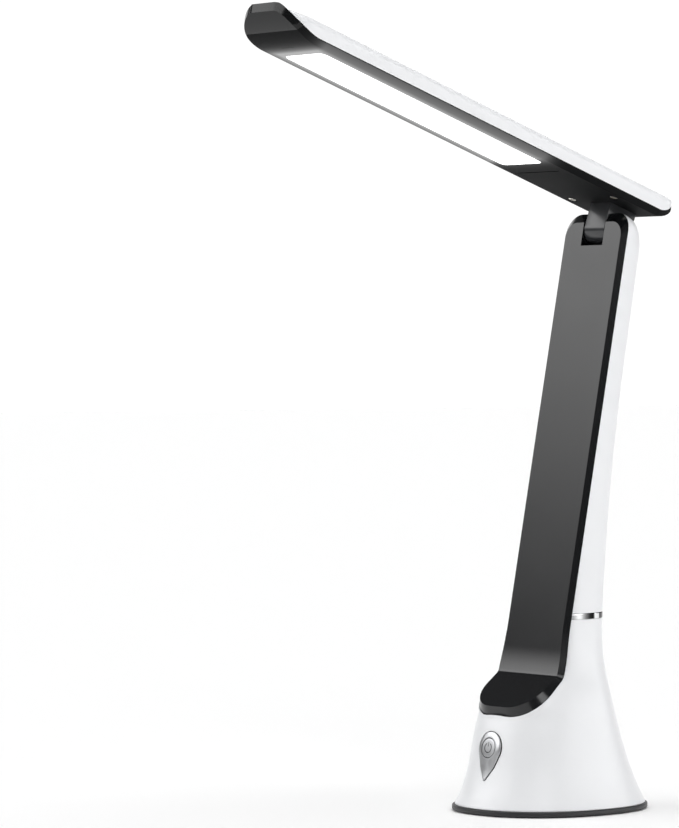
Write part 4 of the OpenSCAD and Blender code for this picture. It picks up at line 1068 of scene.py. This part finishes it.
def on_wall(lamp, x, y, out):
    """Point of the housing grown by a length, over a place of the button's frame."""
    low, high = -lamp.shell_t * 3, lamp.shell_t * 3
    # Halves the search until it is exact
    for _ in range(30):
        mid = (low + high) / 2
        inside = lamp.on_housing(lamp.button_frame @ Vector((x, y, mid)), out) < 0
        low, high = (mid, high) if inside else (low, mid)
    return lamp.button_frame @ Vector((x, y, mid))


class LAMP_OT_switch(bpy.types.Operator):
    """Domed teardrop surround, level with the round button, and the button with its power sign"""

    bl_idname = "lamp.switch"
    bl_label = "Switch"

    def execute(self, context):
        lamp = lamp_of(context)
        gap, edge, below, bulge = 0.3 * MM, 0.35 * MM, 0.25 * MM, 1.5
        outline = teardrop(lamp, -gap)
        rise, well, level = lamp.bezel_rise / 2, lamp.button_d / 2 + lamp.button_gap, lamp.button_proud - below
        # Share of the way from the well to the outline, inset from the outline, and height over the wall
        profile = [(0, 0, -lamp.bezel_sink)]
        profile += [(t, 0, rise) for t in (0, 0.04, 0.1, 0.2, 0.3, 0.4, 0.5, 0.6, 0.7, 0.8, 0.88)]
        profile += [(1, inset, rise - along) for along, inset in edge_round(edge, 5)]
        profile += [(1, 0, -lamp.bezel_sink)]
        rows = []
        for t, inset, out in profile:
            row = []
            for x, y in outline:
                away = math.hypot(x, y)
                reach = mix(well, away, t) - inset
                point = on_wall(lamp, x / away * reach, y / away * reach, out)
                if out > 0 and t < 1:
                    # Level with the button beside it, and down to the wall's own curve towards the outline
                    flat = lamp.button_frame @ Vector((x / away * reach, y / away * reach, level))
                    point = flat.lerp(point, t ** bulge)
                row.append(point)
            rows.append(row)
        piece = loft("teardrop_surround", rows, closed=True)
        finish(piece, "stand", ["button_bezel"], "satin_chrome", "Satin_chrome", "Black_ABS_satin", crease=40)
        # The outer edge is black ABS: painted shade of the groove round the surround
        around = len(outline)
        for face in piece.data.polygons[(len(rows) - 4) * around:(len(rows) - 1) * around]:
            face.material_index = 1
        self.button(lamp)
        return {"FINISHED"}

    def button(self, lamp):
        """Round button on its stem, domed, with the power sign sunk into it."""
        r, top = lamp.button_d / 2, lamp.button_proud
        inside = lamp.button_frame.inverted()
        deep = min((inside @ v.co).z for v in frame["nodes"]["power_button"].data.vertices)
        shoulder = -lamp.shell_t - 3 * lamp.button_gap
        edge, dome_t, rod, flange, thick = 0.35 * MM, 0.12 * MM, 1.5 * MM, 1.2 * MM, 1 * MM
        stem = [(TINY, deep), (rod, deep), (rod, shoulder - thick), (r + flange, shoulder - thick),
                (r + flange, shoulder), (r, shoulder)]
        crown = [(r - along, top - dome_t - inset) for along, inset in edge_round(edge, 5)]
        dome = [(mix(r - edge, TINY, t), top - dome_t * (1 - t) ** 2) for t in (0.2, 0.4, 0.6, 0.8, 1)]
        piece = turned("round_button", stem + crown + dome, lamp.button_frame, steps=96)
        sign_r, sign_w, sign_t, opening = 2.4 * MM, 0.5 * MM, 0.25 * MM, math.radians(64)
        arc = [i / 60 * (2 * math.pi - opening) + (math.pi + opening) / 2 for i in range(61)]
        ring = [(radius * math.cos(a), radius * math.sin(a))
                for radius, side in ((sign_r + sign_w / 2, arc), (sign_r - sign_w / 2, arc[::-1])) for a in side]
        bar = Matrix.Translation((0, sign_w + sign_r / 2, 0))
        for outline, place in ((ring, Matrix.Identity(4)), (slab_outline(sign_w, sign_r, sign_w * 0.49, 6), bar)):
            cut(piece, prism("sign", outline, top - sign_t, top + OVER, lamp.button_frame @ place))
        finish(piece, "button", ["power_button"], "satin_chrome", "Satin_chrome", "Grey_enamel", crease=35)
        # Enamel fills the sunk sign
        for face in piece.data.polygons:
            spot = inside @ face.center
            sunk = top - sign_t - edge / 20 < spot.z < top - dome_t - MM / 100
            if sunk and math.hypot(spot.x, spot.y) < r / 1.4:
                face.material_index = 1


class LAMP_OT_head_frame(bpy.types.Operator):
    """Dark bevelled frame of the head, curled up at the tip, with the openings for window and neck"""

    bl_idname = "lamp.head_frame"
    bl_label = "Head frame"

    def execute(self, context):
        lamp = lamp_of(context)
        piece = loft("head_frame_skin", lamp.frame_rows())
        low, high = lamp.head_rise - OVER, lamp.head_rise + lamp.frame_t + OVER
        middle = lamp.head_frame @ Matrix.Translation((0, -lamp.window_mid, 0))
        cut(piece, prism("window", slab_outline(lamp.window_w, lamp.window_len, lamp.window_r), low, high, middle))
        cut(piece, box("neck_hole", (-lamp.neck_w / 2 - FIT, -lamp.barrel_r - FIT, low),
                       (lamp.neck_w / 2 + FIT, lamp.neck_back + FIT, high), lamp.head_frame))
        # Engraved lines before and beyond the window
        line_w, line_t = 0.8 * MM, 0.6 * MM
        for place, wide in ((lamp.window_start - 10.7 * MM, lamp.window_w),
                            (lamp.window_start + lamp.window_len + 9.3 * MM, 9.4 * MM)):
            cut(piece, box("line", (-wide / 2, -place - line_w / 2, low),
                           (wide / 2, -place + line_w / 2, lamp.head_rise + line_t), lamp.head_frame))
        for side in (-1, 1):
            spot = Matrix.Translation((side * lamp.head_screw_x, -lamp.head_screw_s, lamp.head_rise))
            cut(piece, sunk_screw(lamp, lamp.head_frame @ spot))
        finish(piece, "head", ["head_frame"], "black_panel", "Soft_touch_lacquer", "Black_ABS_polished",
               "Nitrile_rubber", crease=20)
        # The tip is polished beyond a part of its curl, and the upright rim under the cover is dark rubber: painted
        # shade of the seam's shadow line
        back, polished, upright = lamp.head_frame.inverted(), math.radians(30), 0.95
        for face in piece.data.polygons:
            spot = back @ face.center
            curl = math.atan2(-spot.y - lamp.curl_start, lamp.head_rise + lamp.curl_r - spot.z)
            if curl > polished:
                face.material_index = 1
            elif abs(face.normal.x) > upright and spot.z > lamp.head_rise + lamp.frame_t:
                face.material_index = 2
        return {"FINISHED"}


class LAMP_OT_head_cover(bpy.types.Operator):
    """White top cover of the head with its rounded edges"""

    bl_idname = "lamp.head_cover"
    bl_label = "Head cover"

    def execute(self, context):
        lamp = lamp_of(context)
        piece = loft("head_top_cover", lamp.cover_rows())
        half, floor = lamp.half_w - lamp.cover_t, lamp.head_rise
        ceiling, soft = lamp.head_top - lamp.cover_t, lamp.cover_edge / 2
        section = [(-half, floor), (half, floor), (half, ceiling - soft), (half - soft, ceiling),
                   (soft - half, ceiling), (-half, ceiling - soft)]
        ends = (lamp.tail_start + lamp.frame_t, -lamp.curl_start - lamp.frame_t)
        cut(piece, loft("hollow", [placed(lamp.head_frame, [(x, y, z) for x, z in section]) for y in ends]))
        finish(piece, "head", ["head_cover"], "white_plastic", "White_ABS", crease=30)
        return {"FINISHED"}


class LAMP_OT_window(bpy.types.Operator):
    """Lit opal window of the head"""

    bl_idname = "lamp.window"
    bl_label = "Light window"

    def execute(self, context):
        lamp = lamp_of(context)
        middle = lamp.head_frame @ Matrix.Translation((0, -lamp.window_mid, lamp.head_rise))
        wide, deep, r = lamp.window_w / 2 - FIT, lamp.window_len / 2 - FIT, lamp.window_r - FIT
        edge = 0.4 * MM
        rows = []
        for z, grow in [(0, -edge), (edge * 0.3, -edge * 0.3), (edge, 0), (lamp.frame_t, 0),
                        (lamp.frame_t, lamp.ledge_w + FIT), (lamp.frame_t + lamp.ledge_t, lamp.ledge_w + FIT)]:
            outline = slab_outline(2 * (wide + grow), 2 * (deep + grow), r + grow)
            rows.append(placed(middle, [(x, y, z) for x, y in outline]))
        piece = loft("opal_window", rows)
        finish(piece, "head", ["diffuser"], "diffuser_opal", "Opal_acrylic")
        return {"FINISHED"}


class LAMP_OT_neck(bpy.types.Operator):
    """Satin neck with its barrel on the pin and its flange inside the head"""

    bl_idname = "lamp.neck"
    bl_label = "Neck"

    def execute(self, context):
        lamp = lamp_of(context)
        r, top, edge = lamp.barrel_r, lamp.head_rise + lamp.frame_t, 0.45 * MM
        heel = lamp.head_rise - lamp.neck_heel
        corner = Vector((lamp.neck_back, heel))
        # Tangent from the barrel's underside to the rear corner
        away = math.atan2(corner.y, corner.x) - math.acos(r / corner.length)
        barrel = rising(away, -math.pi, 56)

        def outline(inset):
            points = [((r - inset) * math.cos(a), (r - inset) * math.sin(a)) for a in barrel]
            return points + [(-r + inset, top), (lamp.neck_back - inset, top), (lamp.neck_back - inset, heel)]

        half = lamp.neck_w / 2
        steps = [(-half + along, inset) for along, inset in edge_round(edge)]
        steps += [(-x, inset) for x, inset in reversed(steps)]
        piece = loft("hinge_neck", [
            placed(lamp.head_frame, [(x, y, z) for y, z in outline(inset)]) for x, inset in steps])
        cut(piece, bore(lamp.head_frame, lamp.pin_d / 2 + FIT / 2, lamp.neck_w))
        boss = lamp.screw_head_d + 2 * MM
        long = lamp.head_screw_s + boss / 2 + r
        middle = lamp.head_frame @ Matrix.Translation((0, r - long / 2, top - FIT))
        flange = prism("flange", slab_outline(2 * lamp.head_screw_x + boss, long, boss / 2), 0,
                       lamp.neck_flange_t + FIT, middle)
        join_solids(piece, flange, "UNION")
        finish(piece, "head", ["neck"], "black_neck", "Black_ABS_neck", crease=30)
        return {"FINISHED"}


class LAMP_OT_screws(bpy.types.Operator):
    """Pan-head screws of the base, the yoke and the head, set by one rule on their places"""

    bl_idname = "lamp.screws"
    bl_label = "Screws"

    def execute(self, context):
        lamp = lamp_of(context)
        r, t = lamp.screw_head_d / 2, lamp.screw_head_t
        # Pan head from its top downwards, then the thread, cut to a share of the shank
        head = [(TINY, 0), (r * 0.55, 0.04 * MM), (r * 0.8, 0.14 * MM), (r * 0.94, 0.34 * MM), (r, 0.6 * MM),
                (r, t), (lamp.screw_d / 2, t)]
        shank, pitch, root = [], 0.9 * MM, lamp.screw_d / 2 * 0.82
        for i in range(int(lamp.screw_len / pitch)):
            z = t + (i + 0.3) * pitch
            shank += [(root, z), (lamp.screw_d / 2, z + pitch / 2)]
        tip = t + lamp.screw_len
        screw = turned("screw", head + shank + [(lamp.screw_d / 2 * 0.8, tip), (TINY, tip)],
                       Matrix.Identity(4), steps=28)
        reach, wide, deep = r * 0.62, 0.8 * MM, 0.75 * MM
        for low in ((-reach, -wide / 2, -OVER), (-wide / 2, -reach, -OVER)):
            cut(screw, box("recess", low, (-low[0], -low[1], deep)))
        shade(screw.data, 30)
        tree, finish_name = screw_tree(), "Nickel_plated_steel"
        groups = (("base_screws", "cover_screws", "stand", (0, 0, 0)),
                  ("yoke_screw_pair", "yoke_screws", "stand", (-math.pi / 2 - lamp.lean, 0, 0)),
                  ("head_screw_pair", "head_screws", "head", (-lamp.head_tilt, 0, 0)))
        for name, node, body, turns in groups:
            guide = object_of(name, self.places(node, turns), [])
            piece = grown(name, tree, {
                "Screw": screw, "Turn": turns, "Material": bpy.data.materials[finish_name]}, guide)
            finish(piece, body, [node], "screw_steel", finish_name, crease=30)
        bpy.data.objects.remove(screw)
        return {"FINISHED"}

    def places(self, node, turns):
        """Middle of each screw's head, from the CAD node's own points at the screws' outer end."""
        along = Euler(turns).to_matrix() @ Vector((0, 0, 1))
        dots = [v.co for v in frame["nodes"][node].data.vertices]
        outer = min(p.dot(along) for p in dots)
        heads = {}
        for p in dots:
            if p.dot(along) < outer + FIT:
                heads.setdefault((p.x > 0, p.y > 0), []).append(p)
        return [[(min(p[i] for p in rim) + max(p[i] for p in rim)) / 2 for i in range(3)] for rim in heads.values()]


class LAMP_OT_inner_parts(bpy.types.Operator):
    """Finishes of the inner parts and the bottom cover, which keep their CAD shapes"""

    bl_idname = "lamp.inner_parts"
    bl_label = "Inner parts"

    def execute(self, context):
        inner = {
            "bottom_cover": "Black_ABS_matt", "ballast_plate": "Rolled_steel", "battery_cell": "PVC_sleeve",
            "battery_cradle": "Nylon_black", "hinge_yoke": "Zinc_plated_steel", "hinge_pin": "Nickel_plated_steel",
            "pin_nut": "Nickel_plated_steel", "friction_washers": "Nickel_plated_steel",
            "control_board": "Solder_mask_green", "switch_body": "Nylon_black", "charge_board": "Solder_mask_green",
            "charge_socket": "Nickel_plated_steel", "switch_plunger": "Nylon_white", "reflector": "Nylon_white",
            "led_board": "Solder_mask_white", "led_chips": "LED_phosphor"}
        for node, name in inner.items():
            materials = frame["nodes"][node].data.materials
            materials.clear()
            materials.append(bpy.data.materials[name])
        return {"FINISHED"}


class LAMP_OT_stage(bpy.types.Operator):
    """Pale floor, soft studio light and the camera"""

    bl_idname = "lamp.stage"
    bl_label = "Stage, light and camera"

    def execute(self, context):
        stage = context.scene.lamp_stage
        size = stage.floor
        floor = object_of("floor", [(-size, -size, 0), (size, -size, 0), (size, size, 0), (-size, size, 0)],
                          [(0, 1, 2, 3)])
        # Matt pale laminate: even, with a faint cloud
        floor.data.materials.append(moulded("Pale_laminate", linear("#FCFCFC"), 0.6, 1.45, 30, 0.01))
        self.sky(context)
        camera = bpy.data.cameras.new("camera")
        camera.lens = stage.lens
        camera.sensor_width = 36
        camera.shift_y = stage.shift
        camera.clip_start, camera.clip_end = 0.05, 60
        eye = bpy.data.objects.new("camera", camera)
        context.scene.collection.objects.link(eye)
        s, c = math.sin(stage.bearing), math.cos(stage.bearing)
        eye.location = (stage.distance * s - stage.side * c, -stage.distance * c - stage.side * s, stage.height)
        eye.rotation_euler = (math.pi / 2, 0, stage.bearing)
        context.scene.camera = eye
        context.scene.view_settings.view_transform = "Standard"
        return {"FINISHED"}

    def sky(self, context):
        """Studio drawn on the sky: a dim room with the soft lights of LIGHTS."""
        world = bpy.data.worlds.new("studio")
        context.scene.world = world
        world.use_nodes = True
        tree = world.node_tree
        spot = add(tree, "ShaderNodeSeparateXYZ", add(tree, "ShaderNodeTexCoord").outputs["Generated"])
        height = spot.outputs[2]
        turned_by = add(tree, MATH, spot.outputs[1], spot.outputs[0], operation="ARCTAN2")
        bearing = add(tree, MATH, turned_by, operation="DEGREES")
        total = context.scene.lamp_stage.room
        for left, right, low, high, light in LIGHTS:
            for value, (outer, inner) in ((bearing, left), (bearing, right), (height, low), (height, high)):
                edge = add(tree, RANGE, value, outer, inner, 0.0, 1.0, interpolation_type="SMOOTHSTEP")
                light = add(tree, MATH, edge, light, operation="MULTIPLY")
            total = add(tree, MATH, light, total, operation="ADD")
        feed(tree, tree.nodes["Background"], {"Strength": total, "Color": (1, 1, 1, 1)})


class LAMP_PT_sidebar(bpy.types.Panel):
    """Lists the lamp's values and the pieces that can be made"""

    bl_idname = "LAMP_PT_sidebar"
    bl_label = "Light therapy lamp"
    bl_space_type = "VIEW_3D"
    bl_region_type = "UI"
    bl_category = "Lamp"

    def draw(self, context):
        for operator in OPERATORS:
            self.layout.operator(operator.bl_idname)
        for group in ("lamp_stage", "lamp_colours", "lamp_sizes"):
            column = self.layout.column()
            values = getattr(context.scene, group)
            for name in type(values).__annotations__:
                column.prop(values, name)


OPERATORS = (
    LAMP_OT_finishes, LAMP_OT_stage, LAMP_OT_housing, LAMP_OT_trims, LAMP_OT_stem, LAMP_OT_front_panel, LAMP_OT_switch,
    LAMP_OT_head_frame, LAMP_OT_head_cover, LAMP_OT_window, LAMP_OT_neck, LAMP_OT_screws, LAMP_OT_inner_parts)
GROUPS = (LampSizes, LampColours, LampStage)


def register():
    for item in GROUPS + OPERATORS + (LAMP_PT_sidebar,):
        bpy.utils.register_class(item)
    bpy.types.Scene.lamp_sizes = PointerProperty(type=LampSizes)
    bpy.types.Scene.lamp_colours = PointerProperty(type=LampColours)
    bpy.types.Scene.lamp_stage = PointerProperty(type=LampStage)


def unregister():
    for name in ("lamp_stage", "lamp_colours", "lamp_sizes"):
        delattr(bpy.types.Scene, name)
    for item in reversed(GROUPS + OPERATORS + (LAMP_PT_sidebar,)):
        bpy.utils.unregister_class(item)


def main():
    register()
    for operator in OPERATORS:
        group, name = operator.bl_idname.split(".")
        getattr(getattr(bpy.ops, group), name)()


if __name__ == "__main__":
    main()
